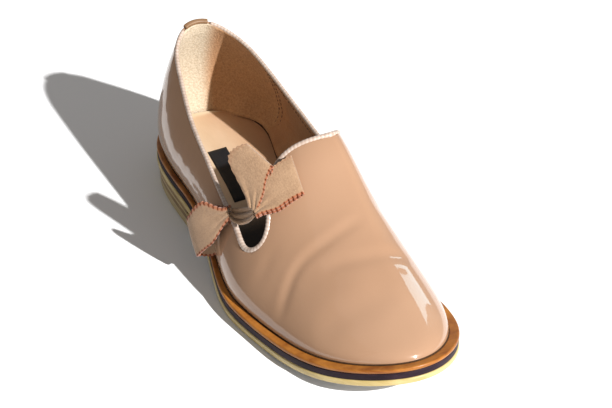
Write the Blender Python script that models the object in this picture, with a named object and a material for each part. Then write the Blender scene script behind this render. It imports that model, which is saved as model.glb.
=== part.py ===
"""A right-foot slip-on pump with a low stacked heel, a side slot and a ribbon bow.

X runs from heel to toe, Y to the wearer's left, which is the inner side of the foot, and Z is up.
Sizes are in millimetres, and x is measured from the back of the sole, until a mesh is made in metres.
Side -1 is the outer side of the foot and side 1 the inner side.
"""

import math
from collections import namedtuple

import bmesh
import bpy
import numpy as np

MM = 0.001
GAP = 0.3  # left between pieces that touch
OUTER = -1
INNER = 1

# Sole and heel
SOLE_LENGTH = 268.0
HEEL_RADIUS = 31.0  # of the plan at the back
TOE_RADIUS = 28.0  # of the plan at the front
TOE_SPRING = 13.6
TOE_CURL = 1.8  # how late the toe spring rises
HEEL_HEIGHT = 13.3  # of the stack under the outsole
BREAST = 0.285  # share of the length where the heel ends
FLAT_FROM = 0.60  # the tread lies flat on the floor between these shares
FLAT_TO = 0.68
SOLE_COLUMNS = 44
PLAN_STEPS = 600

Layer = namedtuple("Layer", "name thickness proud colour")
SOLE_LAYERS = (
    Layer("outsole", 3.5, 0.4, (0.72, 0.56, 0.22)),
    Layer("midsole", 4.0, 0.0, (0.025, 0.014, 0.016)),
    Layer("welt", 2.5, 0.3, (0.48, 0.20, 0.05)),
)
SOLE_STACK = sum(layer.thickness for layer in SOLE_LAYERS)
EDGE_ROUNDING = 0.5  # how far a layer's rim draws in at its top and bottom

Lift = namedtuple("Lift", "name thickness colour")
HEEL_LIFTS = (
    Lift("heel_top_piece", 4.9, (0.70, 0.54, 0.25)),
    Lift("heel_lift_lower", 3.3, (0.26, 0.14, 0.06)),
    Lift("heel_lift_middle", 1.8, (0.70, 0.54, 0.25)),
    Lift("heel_lift_upper", 3.3, (0.26, 0.14, 0.06)),
)
LIFT_COLUMNS = 16
LIFT_INSET = 0.4  # of the uppermost lift from the sole's edge
LIFT_TAPER = 0.35  # each lift is this much smaller all round than the one above

PlanRow = namedtuple("PlanRow", "share outer inner ledge")
PLAN = (
    PlanRow(0.10, 32.6, 36.5, 3.0),
    PlanRow(0.25, 38.4, 31.4, 2.6),
    PlanRow(0.42, 44.5, 25.8, 2.4),
    PlanRow(0.58, 54.8, 35.8, 3.8),
    PlanRow(0.72, 51.8, 42.7, 4.5),
    PlanRow(0.84, 45.6, 40.6, 5.0),
    PlanRow(0.93, 32.8, 30.7, 5.4),
)
HEEL_LEDGE = 3.0
TOE_LEDGE = 5.5

# Upper
WALL = 2.0
UPPER_COLUMNS = 42
UPPER_ROWS = 10  # from the sole to the ridge on each side
NOSE = 9.0  # how late the ridge drops to the sole at the toe
BULGE_HEIGHT = 12.0  # above the sole, where the wall stands furthest out
NARROW = 20.0  # half width below which bulge and overhang fade out

# x, height of the ridge above the floor, its place across, fullness of height and of width,
# bulge low down, and how far the inner side overhangs the narrow waist
SectionRow = namedtuple("SectionRow", "x ridge across height_power width_power bulge overhang")
SECTIONS = (
    SectionRow(0.0, 112.0, 0.0, 2.2, 2.0, 2.5, 0.0),
    SectionRow(30.0, 92.0, 0.0, 2.15, 2.0, 2.5, 0.5),
    SectionRow(60.0, 86.5, 0.0, 2.1, 2.0, 2.5, 4.0),
    SectionRow(85.0, 88.0, 3.0, 2.0, 1.98, 2.2, 8.0),
    SectionRow(105.0, 90.0, 6.0, 1.85, 1.95, 2.0, 9.0),
    SectionRow(145.0, 86.0, 12.0, 1.45, 1.8, 1.8, 4.0),
    SectionRow(165.0, 70.5, 13.0, 1.42, 1.83, 1.6, 2.2),
    SectionRow(185.0, 57.6, 12.0, 1.44, 1.87, 1.5, 1.5),
    SectionRow(205.0, 48.4, 9.0, 1.5, 1.95, 1.4, 1.0),
    SectionRow(225.0, 42.4, 5.0, 1.6, 2.05, 1.2, 0.5),
    SectionRow(245.0, 38.2, 2.0, 1.7, 2.15, 1.1, 0.0),
    SectionRow(262.5, 36.5, 0.0, 1.75, 2.2, 1.0, 0.0),
)

# Lean of the heel's back: it swells backwards low down and leans forwards at the collar
BACK_HEIGHT = 63.0
BACK_SWELL = 3.5
SWELL_REACH = 0.9  # share of that height over which it swells
SWELL_POWER = 1.2
BACK_LEAN = 9.0
LEAN_FROM = 0.25
LEAN_POWER = 1.7
LEAN_ROUNDS = 6  # of finding a leaning column's foot
LEAN_REACH = 95.0  # the lean fades out by this x

# Edge of the opening on each side, x and height, from the back of the heel to the tongue
EdgePoint = namedtuple("EdgePoint", "x z")
OUTER_EDGE = (
    EdgePoint(8.0, 87.5),
    EdgePoint(12.5, 84.8),
    EdgePoint(18.0, 80.9),
    EdgePoint(26.0, 76.6),
    EdgePoint(36.0, 72.2),
    EdgePoint(46.0, 68.0),
    EdgePoint(56.0, 64.0),
    EdgePoint(66.0, 60.5),
    EdgePoint(78.0, 57.2),
    EdgePoint(92.0, 53.6),
    EdgePoint(106.0, 49.8),
    EdgePoint(120.0, 46.6),
    EdgePoint(134.0, 43.6),
    EdgePoint(147.2, 38.6),
    EdgePoint(155.6, 36.6),
    EdgePoint(159.9, 39.9),
    EdgePoint(158.6, 46.4),
    EdgePoint(152.2, 54.4),
    EdgePoint(143.5, 64.5),
    EdgePoint(139.3, 73.0),
    EdgePoint(139.3, 79.5),
    EdgePoint(141.8, 84.2),
    EdgePoint(145.5, 87.0),
)
INNER_EDGE = (
    EdgePoint(8.0, 87.5),
    EdgePoint(12.5, 85.6),
    EdgePoint(18.0, 82.4),
    EdgePoint(26.0, 79.0),
    EdgePoint(36.0, 75.5),
    EdgePoint(46.0, 72.3),
    EdgePoint(56.0, 69.3),
    EdgePoint(66.0, 66.4),
    EdgePoint(78.0, 63.0),
    EdgePoint(92.0, 59.7),
    EdgePoint(103.0, 57.6),
    EdgePoint(111.0, 58.0),
    EdgePoint(118.0, 62.3),
    EdgePoint(126.0, 70.0),
    EdgePoint(133.0, 77.3),
    EdgePoint(139.5, 83.0),
    EdgePoint(145.5, 87.0),
)
EDGE_STEPS = 72  # straight steps along each edge
CUT_HEIGHT = 150.0
CUT_REACH = 90.0  # how far the cutters pass the shoe
CUT_OVERLAP = 0.5  # the two sides' cutters pass each other by this much

# Piping on the edge, and the tab that closes it at the heel
PIPING_RADIUS = 1.2
PIPING_CLEAR = 0.6
EDGE_SETBACK = 2 * PIPING_RADIUS + PIPING_CLEAR  # the wall ends this far inside the edge
PIPING_STEPS = 150
TAB_WIDTH = 14.0
TAB_PROUD = 0.6  # above the piping
TAB_THICKNESS = 3.2
TAB_STEPS = 10
TAB_REACH = 12.0  # the tab lies within this much of the back
TAB_SAMPLES = 60

# Insole
INSOLE_THICKNESS = 3.0
INSOLE_CLEARANCE = 1.2  # from the wall at its foot
INSOLE_BEVEL = 1.2  # its top is smaller by this much all round

# Bow
RIBBON_WIDTH = 21.0
RIBBON_THICKNESS = 1.4
GATHER_WIDTH = 4.0  # the ribbon pinched at the slot
LOOP_STEPS = 18
ACROSS_STEPS = 4
GATHER_REACH = 0.55  # share of a loop over which the pinched ribbon opens out
PINCH = 0.22  # height of a loop at its root, as a share of its puff
PUFF_POWER = 0.7  # how soon a loop opens from its root

LoopRow = namedtuple("LoopRow", "name root tip across puff")
BOW_LOOPS = (
    LoopRow("bow_loop_vamp", (152.6, -34.0, 55.6), (160.5, -16.5, 81.0), (17.6, -3.0, -14.0), 6.0),
    LoopRow("bow_loop_throat", (146.0, -36.4, 57.0), (123.5, -23.0, 74.0), (14.0, 6.5, -4.0), 5.0),
    LoopRow("bow_loop_outer", (130.0, -45.4, 45.6), (120.5, -58.0, 28.5), (15.0, 0.0, -16.0), 6.5),
)

BridgeRow = namedtuple("BridgeRow", "x y z width")
BRIDGE = (
    BridgeRow(149.4, -34.6, 54.4, 5.0),
    BridgeRow(145.0, -36.6, 50.0, 9.0),
    BridgeRow(139.0, -39.6, 46.4, 9.5),
    BridgeRow(132.4, -43.6, 45.6, 6.0),
)
BRIDGE_ALONG_SLOT = (0.86, -0.22, -0.46)  # direction of the bridge's width
BRIDGE_STEPS = 8

SMOOTH_DEGREES = 35.0  # faces that meet at less than this are shaded as one

PATENT = (0.68, 0.40, 0.24)
PIPING_COLOUR = (0.80, 0.66, 0.56)
TAB_COLOUR = (0.60, 0.28, 0.12)
INSOLE_COLOUR = (0.70, 0.44, 0.24)
RIBBON_COLOUR = (0.58, 0.36, 0.21)


def spline(stations, values):
    """A natural cubic spline through the points, as a function."""
    x = np.asarray(stations, float)
    y = np.asarray(values, float)
    step = np.diff(x)
    slope = np.diff(y) / step
    count = len(x)
    system = np.eye(count)
    target = np.zeros(count)
    for i in range(1, count - 1):
        system[i, i - 1 : i + 2] = step[i - 1], 2 * (step[i - 1] + step[i]), step[i]
        target[i] = 6 * (slope[i] - slope[i - 1])
    bend = np.linalg.solve(system, target)

    def at(where):
        where = np.asarray(where, float)
        k = np.clip(np.searchsorted(x, where) - 1, 0, count - 2)
        past = where - x[k]
        rise = slope[k] - step[k] * (2 * bend[k] + bend[k + 1]) / 6
        return y[k] + past * rise + past**2 * bend[k] / 2 + past**3 * (bend[k + 1] - bend[k]) / (6 * step[k])

    return at


def smooth_step(share):
    share = np.clip(share, 0, 1)
    return share * share * (3 - 2 * share)


# Sole surface and plan


def tread_height(x):
    """Height of the outsole's underside: toe spring, flat tread, waist and heel seat."""
    share = np.asarray(x, float) / SOLE_LENGTH
    toe = TOE_SPRING * (np.clip(share - FLAT_TO, 0, None) / (1 - FLAT_TO)) ** TOE_CURL
    waist = HEEL_HEIGHT * smooth_step((FLAT_FROM - share) / (FLAT_FROM - BREAST))
    return toe + waist


def seat_height(x):
    """Height of the welt's top, where the upper stands."""
    return tread_height(x) + SOLE_STACK


PLAN_SHARES = [0.0] + [row.share for row in PLAN] + [1.0]
LEDGE = spline(PLAN_SHARES, [HEEL_LEDGE] + [row.ledge for row in PLAN] + [TOE_LEDGE])


def fullness(widths):
    """Half widths as a multiple of an ellipse's, which stays smooth round the heel and toe."""
    ends = [math.sqrt(radius * SOLE_LENGTH / 2) for radius in (HEEL_RADIUS, TOE_RADIUS)]
    inside = [width / (2 * math.sqrt(row.share * (1 - row.share))) for row, width in zip(PLAN, widths)]
    return spline(PLAN_SHARES, ends[:1] + inside + ends[1:])


FULLNESS = {OUTER: fullness([row.outer for row in PLAN]), INNER: fullness([row.inner for row in PLAN])}
Plan = namedtuple("Plan", "start end edges")


def plan_curve(inset=0.0, on_ledge=False):
    """The sole's plan drawn in by an inset, and by the welt's ledge too where that is asked."""
    angle = np.linspace(0, math.pi, PLAN_STEPS + 1)
    share = (1 - np.cos(angle)) / 2
    drawn = inset + (LEDGE(share) if on_ledge else 0)
    start = inset + HEEL_LEDGE * on_ledge
    end = SOLE_LENGTH - inset - TOE_LEDGE * on_ledge
    edges = {}
    for side in (OUTER, INNER):
        line = np.stack([share * SOLE_LENGTH, FULLNESS[side](share) * np.sin(angle)])
        heading = np.gradient(line, axis=1)
        heading /= np.linalg.norm(heading, axis=0)
        edge = line + drawn * np.stack([heading[1], -heading[0]])
        edge[:, 0] = start, 0
        edge[:, -1] = end, 0
        edges[side] = edge
    return Plan(start, end, edges)


def half_width(plan, x, side):
    along, across = plan.edges[side]
    return np.interp(x, along, np.clip(across, 0, None))


def stations(plan, count, last=None):
    """Places along a plan, close together at its round ends."""
    reach = math.pi if last is None else math.acos(1 - 2 * (last - plan.start) / (plan.end - plan.start))
    angles = np.linspace(0, reach, count + 1)
    return plan.start + (plan.end - plan.start) * (1 - np.cos(angles)) / 2


# Upper surface

SECTION_X = [row.x for row in SECTIONS]
RIDGE = spline(SECTION_X, [row.ridge for row in SECTIONS])
ACROSS = spline(SECTION_X, [row.across for row in SECTIONS])
HEIGHT_POWER = spline(SECTION_X, [row.height_power for row in SECTIONS])
WIDTH_POWER = spline(SECTION_X, [row.width_power for row in SECTIONS])
BULGE = spline(SECTION_X, [row.bulge for row in SECTIONS])
OVERHANG = spline(SECTION_X, [row.overhang for row in SECTIONS])


def back_lean(x, rise):
    """How far the wall moves forwards at a height above the sole."""
    share = rise / BACK_HEIGHT
    swell = BACK_SWELL * np.sin(np.pi * np.clip(share / SWELL_REACH, 0, 1)) ** SWELL_POWER
    lean = BACK_LEAN * np.clip(share - LEAN_FROM, 0, None) ** LEAN_POWER
    return (lean - swell) * np.clip(1 - x / LEAN_REACH, 0, 1) ** 2


def ridge_rise(plan, x, depth):
    """Height of the ridge above the sole, for a surface this deep inside the outer face."""
    share = np.clip((x - plan.start) / (plan.end - plan.start), 0, 1)
    return (RIDGE(x) - depth - seat_height(x)) * np.sqrt(1 - share**NOSE)


def wall_across(plan, x, rise, side, turn):
    """Place across the shoe, where turn runs from 0 at the sole to a quarter circle at the ridge."""
    half = half_width(plan, x, side)
    fade = np.clip(half / NARROW, 0, 1)
    middle = ACROSS(x) * fade
    across = middle + (side * half - middle) * np.cos(turn) ** (2 / WIDTH_POWER(x))
    swell = rise / BULGE_HEIGHT * np.exp(1 - rise / BULGE_HEIGHT) * np.cos(turn)
    lean = OVERHANG(x) * np.sin(2 * turn) if side == INNER else 0.0
    return across + fade * (side * BULGE(x) * swell + lean)


def upper_grid(depth):
    """Points of the upper's surface at a depth, column by column, from outer sole over the ridge to inner."""
    plan = plan_curve(depth, on_ledge=True)
    quarter = np.linspace(0, math.pi / 2, UPPER_ROWS + 1)
    turns = np.concatenate([quarter, quarter[-2::-1]])
    sides = [OUTER] * (UPPER_ROWS + 1) + [INNER] * UPPER_ROWS
    grid = []
    for x in stations(plan, UPPER_COLUMNS):
        height = ridge_rise(plan, x, depth)
        column = []
        for turn, side in zip(turns, sides):
            rise = height * math.sin(turn) ** (2 / HEIGHT_POWER(x))
            across = wall_across(plan, x, rise, side, turn)
            column.append((x + back_lean(x, rise), across, seat_height(x) + rise))
        grid.append(column)
    return np.array(grid)


def wall_point(plan, x, z, side, depth):
    """The point of the wall at a given place along and height."""
    column = float(x)
    for _ in range(LEAN_ROUNDS):
        rise = z - seat_height(column)
        column = float(np.clip(x - back_lean(column, rise), plan.start, plan.end))
    rise = z - seat_height(column)
    share = np.clip(rise / ridge_rise(plan, column, depth), 0, 1)
    turn = math.asin(share ** (HEIGHT_POWER(column) / 2))
    return np.array([x, wall_across(plan, column, rise, side, turn), z])


# Edge of the opening


def edge_path(points, into):
    """A smooth line through an edge's points, moved into the leather by a distance."""
    along = np.array(points, float)
    chord = np.concatenate([[0], np.cumsum(np.linalg.norm(np.diff(along, axis=0), axis=1))])
    where = np.linspace(0, chord[-1], EDGE_STEPS + 1)
    line = np.stack([spline(chord, along[:, 0])(where), spline(chord, along[:, 1])(where)], axis=1)
    heading = np.gradient(line, axis=0)
    heading /= np.linalg.norm(heading, axis=1, keepdims=True)
    return line + into * np.stack([heading[:, 1], -heading[:, 0]], axis=1)


def even_path(points, count):
    """The same path with points at even distances."""
    points = np.array(points)
    walked = np.concatenate([[0], np.cumsum(np.linalg.norm(np.diff(points, axis=0), axis=1))])
    where = np.linspace(0, walked[-1], count + 1)
    return np.stack([np.interp(where, walked, points[:, axis]) for axis in range(3)], axis=1)


# Mesh helpers


def new_object(name, vertices, faces, material, parent):
    """One closed body from points in millimetres, welded, with its faces turned outwards."""
    mesh = bpy.data.meshes.new(name)
    mesh.from_pydata([tuple(float(value) * MM for value in point) for point in vertices], [], faces)
    body = bmesh.new()
    body.from_mesh(mesh)
    bmesh.ops.remove_doubles(body, verts=body.verts, dist=1e-6)
    bmesh.ops.dissolve_degenerate(body, edges=body.edges, dist=1e-7)
    bmesh.ops.recalc_face_normals(body, faces=body.faces)
    body.to_mesh(mesh)
    body.free()
    mesh.shade_smooth()
    mesh.set_sharp_from_angle(angle=math.radians(SMOOTH_DEGREES))
    if material:
        mesh.materials.append(material)
    made = bpy.data.objects.new(name, mesh)
    bpy.context.collection.objects.link(made)
    made.parent = parent
    return made


def grid_faces(rows, columns, first=0):
    """Quads over a grid of points that is stored row by row."""
    faces = []
    for row in range(rows - 1):
        for column in range(columns - 1):
            corner = first + row * columns + column
            faces.append((corner, corner + 1, corner + columns + 1, corner + columns))
    return faces


def thick_sheet(name, grid, thickness, material, parent):
    """A closed sheet of even thickness about a grid of points."""
    rows, columns, _ = grid.shape
    normal = np.cross(np.gradient(grid, axis=0), np.gradient(grid, axis=1))
    normal /= np.linalg.norm(normal, axis=2, keepdims=True)
    layers = [grid + normal * thickness / 2, grid - normal * thickness / 2]
    vertices = np.concatenate([layer.reshape(-1, 3) for layer in layers])
    below = rows * columns
    faces = grid_faces(rows, columns) + grid_faces(rows, columns, below)
    rim = [column for column in range(columns)]
    rim += [row * columns + columns - 1 for row in range(1, rows)]
    rim += [(rows - 1) * columns + column for column in range(columns - 2, -1, -1)]
    rim += [row * columns for row in range(rows - 2, 0, -1)]
    for here, there in zip(rim, rim[1:] + rim[:1]):
        faces.append((here, there, there + below, here + below))
    return new_object(name, vertices, faces, material, parent)


def plate(name, rings, material, parent):
    """A closed plate from rings of points, bottom to top, whose ends are strips across the plan."""
    count = len(rings[0])
    vertices = np.concatenate(rings)
    faces = []
    for level in range(len(rings) - 1):
        for i in range(count):
            here = level * count + i
            there = level * count + (i + 1) % count
            faces.append((here, there, there + count, here + count))
    last = (len(rings) - 1) * count
    for first in (0, last):
        for i in range(count // 2 - 1):
            faces.append((first + i, first + i + 1, first + count - 2 - i, first + count - 1 - i))
    return new_object(name, vertices, faces, material, parent)


def plan_ring(plan, xs, height):
    """A ring of points around a plan: outwards along the outer side and back along the inner side."""
    outer = [(x, -half_width(plan, x, OUTER), height(x)) for x in xs]
    inner = [(x, half_width(plan, x, INNER), height(x)) for x in xs]
    return np.array(outer + inner[::-1], float)


def finish(name, colour, roughness, coat=0.0):
    """A plain material with one colour."""
    made = bpy.data.materials.new(name)
    made.use_nodes = True
    shader = made.node_tree.nodes["Principled BSDF"]
    shader.inputs["Base Color"].default_value = (*colour, 1)
    shader.inputs["Roughness"].default_value = roughness
    shader.inputs["Metallic"].default_value = 0.0
    shader.inputs["Coat Weight"].default_value = coat
    return made


# Pieces


def make_sole(parent):
    """Outsole, midsole and welt, one above the other."""
    base = 0.0
    for layer in SOLE_LAYERS:
        top = layer.thickness - GAP
        rings = []
        for rise, inset in ((0, EDGE_ROUNDING), (top / 2, 0), (top, EDGE_ROUNDING)):
            plan = plan_curve(inset - layer.proud)
            xs = stations(plan, SOLE_COLUMNS)
            rings.append(plan_ring(plan, xs, lambda x, up=base + rise: tread_height(x) + up))
        plate(layer.name, rings, finish(layer.name, layer.colour, 0.5), parent)
        base += layer.thickness


def make_heel(parent):
    """The heel's lifts, from the floor up to the outsole."""
    base = 0.0
    for level, lift in enumerate(HEEL_LIFTS):
        below_top = len(HEEL_LIFTS) - 1 - level
        plan = plan_curve(LIFT_INSET + LIFT_TAPER * below_top)
        xs = stations(plan, LIFT_COLUMNS, last=BREAST * SOLE_LENGTH - GAP)
        top = base + lift.thickness - GAP
        rings = [plan_ring(plan, xs, lambda x, up=height: up) for height in (base, top)]
        plate(lift.name, rings, finish(lift.name, lift.colour, 0.55), parent)
        base += lift.thickness


def make_insole(parent):
    """The footbed, inside the foot of the wall."""
    plan = plan_curve(WALL + INSOLE_CLEARANCE, on_ledge=True)
    top_plan = plan_curve(WALL + INSOLE_CLEARANCE + INSOLE_BEVEL, on_ledge=True)
    rings = []
    for outline, up in ((plan, 0.0), (top_plan, INSOLE_THICKNESS)):
        xs = stations(outline, SOLE_COLUMNS)
        rings.append(plan_ring(outline, xs, lambda x, up=up: seat_height(x) + up))
    plate("insole", rings, finish("insole", INSOLE_COLOUR, 0.6), parent)


def make_upper(parent):
    """The hollow wall, closed over the last, with its opening cut by one cutter for each side."""
    outer = upper_grid(0.0)
    inner = upper_grid(WALL)
    columns, rows, _ = outer.shape
    vertices = np.concatenate([outer.reshape(-1, 3), inner.reshape(-1, 3)])
    below = columns * rows
    faces = grid_faces(columns, rows) + grid_faces(columns, rows, below)
    for column in range(columns - 1):
        for row in (0, rows - 1):
            here = column * rows + row
            faces.append((here, here + rows, here + rows + below, here + below))
    upper = new_object("upper", vertices, faces, finish("upper", PATENT, 0.12, 1.0), parent)
    ridge_y = float(ACROSS(OUTER_EDGE[-1].x))
    for side, edge in ((OUTER, OUTER_EDGE), (INNER, INNER_EDGE)):
        cutter = make_cutter(side, edge_path(edge, EDGE_SETBACK), ridge_y, parent)
        cut = upper.modifiers.new("opening", "BOOLEAN")
        cut.operation = "DIFFERENCE"
        cut.solver = "MANIFOLD"
        cut.object = cutter


def make_cutter(side, line, ridge_y, parent):
    """A prism across one side of the shoe, above the edge of the opening."""
    outline = [(x, z) for x, z in line]
    outline += [(line[-1][0], CUT_HEIGHT), (-CUT_REACH, CUT_HEIGHT), (-CUT_REACH, line[0][1])]
    near = ridge_y - side * CUT_OVERLAP
    far = side * CUT_REACH
    count = len(outline)
    vertices = [(x, y, z) for y in (near, far) for x, z in outline]
    faces = [tuple(range(count)), tuple(range(count, 2 * count))]
    for i in range(count):
        after = (i + 1) % count
        faces.append((i, after, after + count, i + count))
    name = "outer_cutter" if side == OUTER else "inner_cutter"
    cutter = new_object(name, vertices, faces, None, parent)
    cutter.hide_render = True
    cutter.display_type = "WIRE"
    return cutter


def make_piping(parent):
    """A cord along the whole edge of the opening, from one side of the heel tab to the other."""
    depth = WALL / 2
    plan = plan_curve(depth, on_ledge=True)
    route = []
    for side, edge in ((OUTER, OUTER_EDGE), (INNER, INNER_EDGE)):
        line = [wall_point(plan, x, z, side, depth) for x, z in edge_path(edge, PIPING_RADIUS)]
        clear = TAB_WIDTH / 2 + GAP + PIPING_RADIUS
        line = [point for point in line if abs(point[1]) > clear or point[0] > BREAST * SOLE_LENGTH]
        route += line if side == OUTER else line[-2::-1]
    curve = bpy.data.curves.new("topline_piping", "CURVE")
    curve.dimensions = "3D"
    curve.bevel_depth = PIPING_RADIUS * MM
    curve.bevel_resolution = 1
    curve.use_fill_caps = True
    path = even_path(route, PIPING_STEPS)
    cord = curve.splines.new("POLY")
    cord.points.add(len(path) - 1)
    for point, place in zip(cord.points, path):
        point.co = (*(place * MM), 1)
    curve.materials.append(finish("topline_piping", PIPING_COLOUR, 0.5))
    piping = bpy.data.objects.new("topline_piping", curve)
    bpy.context.collection.objects.link(piping)
    piping.parent = parent


def make_heel_tab(parent):
    """A short curved tab standing on the back of the wall, between the piping's ends."""
    depth = WALL / 2
    plan = plan_curve(depth, on_ledge=True)
    reach = np.linspace(plan.start, plan.start + TAB_REACH, TAB_SAMPLES)
    grid = []
    for across in np.linspace(-TAB_WIDTH / 2, TAB_WIDTH / 2, TAB_STEPS + 1):
        side, edge = (OUTER, OUTER_EDGE) if across < 0 else (INNER, INNER_EDGE)
        column = np.interp(abs(across), half_width(plan, reach, side), reach)
        back = column + back_lean(column, edge[0].z - seat_height(column)) - TAB_THICKNESS / 2
        row = []
        for into, clear in ((EDGE_SETBACK, GAP), (0.0, TAB_PROUD)):
            line = edge_path(edge, into)
            z = np.interp(back, line[:, 0], line[:, 1]) + clear
            points = [wall_point(plan, x + back_lean(x, z - seat_height(x)), z, side, depth) for x in reach]
            x = np.interp(abs(across), [abs(point[1]) for point in points], [point[0] for point in points])
            row.append((x, across, z))
        grid.append(row)
    thick_sheet("heel_tab", np.array(grid), TAB_THICKNESS, finish("heel_tab", TAB_COLOUR, 0.55), parent)


def unit(vector):
    vector = np.array(vector, float)
    return vector / np.linalg.norm(vector)


def make_loop(row, material, parent):
    """One loop of ribbon, pinched at its root and folded round at its tip."""
    root = np.array(row.root)
    reach = np.linalg.norm(np.array(row.tip) - root)
    along = unit(np.array(row.tip) - root)
    across = np.array(row.across)
    across = unit(across - along * (across @ along))
    rise = np.cross(along, across)
    grid = []
    for turn in np.linspace(0, math.pi, LOOP_STEPS + 1):
        share = math.sin(turn)
        puff = -row.puff * math.cos(turn) * (PINCH + (1 - PINCH) * share**PUFF_POWER)
        width = GATHER_WIDTH + (RIBBON_WIDTH - GATHER_WIDTH) * smooth_step(share / GATHER_REACH)
        centre = root + along * share * reach + rise * puff
        grid.append([centre + across * width * place for place in np.linspace(-0.5, 0.5, ACROSS_STEPS + 1)])
    thick_sheet(row.name, np.array(grid), RIBBON_THICKNESS, material, parent)


def make_bow(parent):
    """The ribbon across the slot and the three loops gathered at its ends."""
    material = finish("ribbon", RIBBON_COLOUR, 0.85)
    for row in BOW_LOOPS:
        make_loop(row, material, parent)
    share = np.linspace(0, 1, len(BRIDGE))
    fine = np.linspace(0, 1, BRIDGE_STEPS + 1)
    columns = [spline(share, [getattr(row, field) for row in BRIDGE])(fine) for field in BridgeRow._fields]
    along_slot = unit(BRIDGE_ALONG_SLOT)
    grid = []
    for x, y, z, width in zip(*columns):
        grid.append([np.array([x, y, z]) + along_slot * width * place for place in (-0.5, 0, 0.5)])
    thick_sheet("bow_bridge", np.array(grid), RIBBON_THICKNESS, material, parent)


def centre_on_floor(parent):
    """Moves the whole shoe so that its box stands centred on the origin."""
    corners = []
    for child in parent.children:
        if not child.hide_render and child.type == "MESH":
            corners += [vertex.co for vertex in child.data.vertices]
    corners = np.array(corners)
    middle = (corners.min(axis=0) + corners.max(axis=0)) / 2
    parent.location = (-middle[0], -middle[1], 0)


def main():
    for old in list(bpy.data.objects):
        bpy.data.objects.remove(old)
    shoe = bpy.data.objects.new("shoe", None)
    bpy.context.collection.objects.link(shoe)
    make_sole(shoe)
    make_heel(shoe)
    make_insole(shoe)
    make_upper(shoe)
    make_piping(shoe)
    make_heel_tab(shoe)
    make_bow(shoe)
    centre_on_floor(shoe)


main()
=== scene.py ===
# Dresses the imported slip-on pump: patent upper, lining, bound edge, stacked sole and ribbon bow.
# Sizes are millimetres in the shoe's own frame: x from the sole's back to the toe,
# y to the inner side, z up.
import math
from collections import namedtuple

import bmesh
import bpy
import numpy as np
from mathutils import Matrix, Quaternion, Vector
from mathutils.geometry import delaunay_2d_cdt


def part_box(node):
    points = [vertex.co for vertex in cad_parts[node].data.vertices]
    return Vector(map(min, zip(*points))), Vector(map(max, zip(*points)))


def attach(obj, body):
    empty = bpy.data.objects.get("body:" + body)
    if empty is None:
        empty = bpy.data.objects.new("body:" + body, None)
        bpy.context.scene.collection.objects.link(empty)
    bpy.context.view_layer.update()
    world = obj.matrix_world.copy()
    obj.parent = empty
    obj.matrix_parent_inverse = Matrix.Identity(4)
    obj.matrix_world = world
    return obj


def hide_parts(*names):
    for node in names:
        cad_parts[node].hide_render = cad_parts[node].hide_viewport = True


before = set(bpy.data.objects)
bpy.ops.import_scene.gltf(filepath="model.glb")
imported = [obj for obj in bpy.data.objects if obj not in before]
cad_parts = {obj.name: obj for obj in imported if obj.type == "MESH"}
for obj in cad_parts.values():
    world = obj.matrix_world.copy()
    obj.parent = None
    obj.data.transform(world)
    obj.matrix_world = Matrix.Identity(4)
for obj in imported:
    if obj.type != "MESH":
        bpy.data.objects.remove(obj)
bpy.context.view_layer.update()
print("frame:", len(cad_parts), "solids")

outer, inner = -1, 1  # sides of the foot
mm = 0.001
quarterTurn = math.pi / 2


def table(columns, *rows):
    kind = namedtuple("kind", columns)
    return [kind(*row) for row in rows]


def listed(rows, name):
    return [getattr(row, name) for row in rows]


# The sole's plan and rise, as the solids have them
sole = {
    "length": 268.0,
    "heelRadius": 31.0,
    "toeRadius": 28.0,
    "toeSpring": 13.6,
    "toeCurl": 1.8,
    "heelHeight": 13.3,
    "breast": 0.285,  # this and the flat part are shares of the length
    "flatFrom": 0.60,
    "flatTo": 0.68,
    "stack": 10.0,
    "heelLedge": 3.0,
    "toeLedge": 5.5,
    "planSteps": 1200,
}
planRows = table(
    "share outer inner ledge",
    (0.10, 32.6, 36.5, 3.0),
    (0.25, 38.4, 31.4, 2.6),
    (0.42, 44.5, 25.8, 2.4),
    (0.58, 54.8, 35.8, 3.8),
    (0.72, 51.8, 42.7, 4.5),
    (0.84, 45.6, 40.6, 5.0),
    (0.93, 32.8, 30.7, 5.4),
)


def spline(stations, values):
    # natural cubic through the points
    x, y = np.asarray(stations, float), np.asarray(values, float)
    step = np.diff(x)
    slope = np.diff(y) / step
    count = len(x)
    system, target = np.eye(count), np.zeros(count)
    for i in range(1, count - 1):
        system[i, i - 1 : i + 2] = step[i - 1], 2 * (step[i - 1] + step[i]), step[i]
        target[i] = 6 * (slope[i] - slope[i - 1])
    bend = np.linalg.solve(system, target)

    def at(where):
        where = np.asarray(where, float)
        k = np.clip(np.searchsorted(x, where) - 1, 0, count - 2)
        past = where - x[k]
        rise = slope[k] - step[k] * (2 * bend[k] + bend[k + 1]) / 6
        return y[k] + past * rise + past**2 * bend[k] / 2 + past**3 * (bend[k + 1] - bend[k]) / (6 * step[k])

    return at


def smoothStep(share):
    share = np.clip(share, 0, 1)
    return share * share * (3 - 2 * share)


def unit(vectors):
    vectors = np.asarray(vectors, float)
    return vectors / np.maximum(np.linalg.norm(vectors, axis=-1, keepdims=True), 1e-12)


def walkedAlong(points):
    return np.concatenate([[0], np.cumsum(np.linalg.norm(np.diff(points, axis=0), axis=1))])


def evenly(points, step):
    # the same path with points at even distances
    points = np.asarray(points, float)
    walked = walkedAlong(points)
    where = np.linspace(0, walked[-1], max(2, int(round(walked[-1] / step)) + 1))
    return np.stack([np.interp(where, walked, line) for line in points.T], axis=1)


def smoothLine(points, rounds):
    points = points.copy()
    for _ in range(rounds):
        points[1:-1] = points[1:-1] / 2 + (points[:-2] + points[2:]) / 4
    return points


def ringAngles(count):
    return np.linspace(0, 2 * math.pi, count, endpoint=False)


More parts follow.
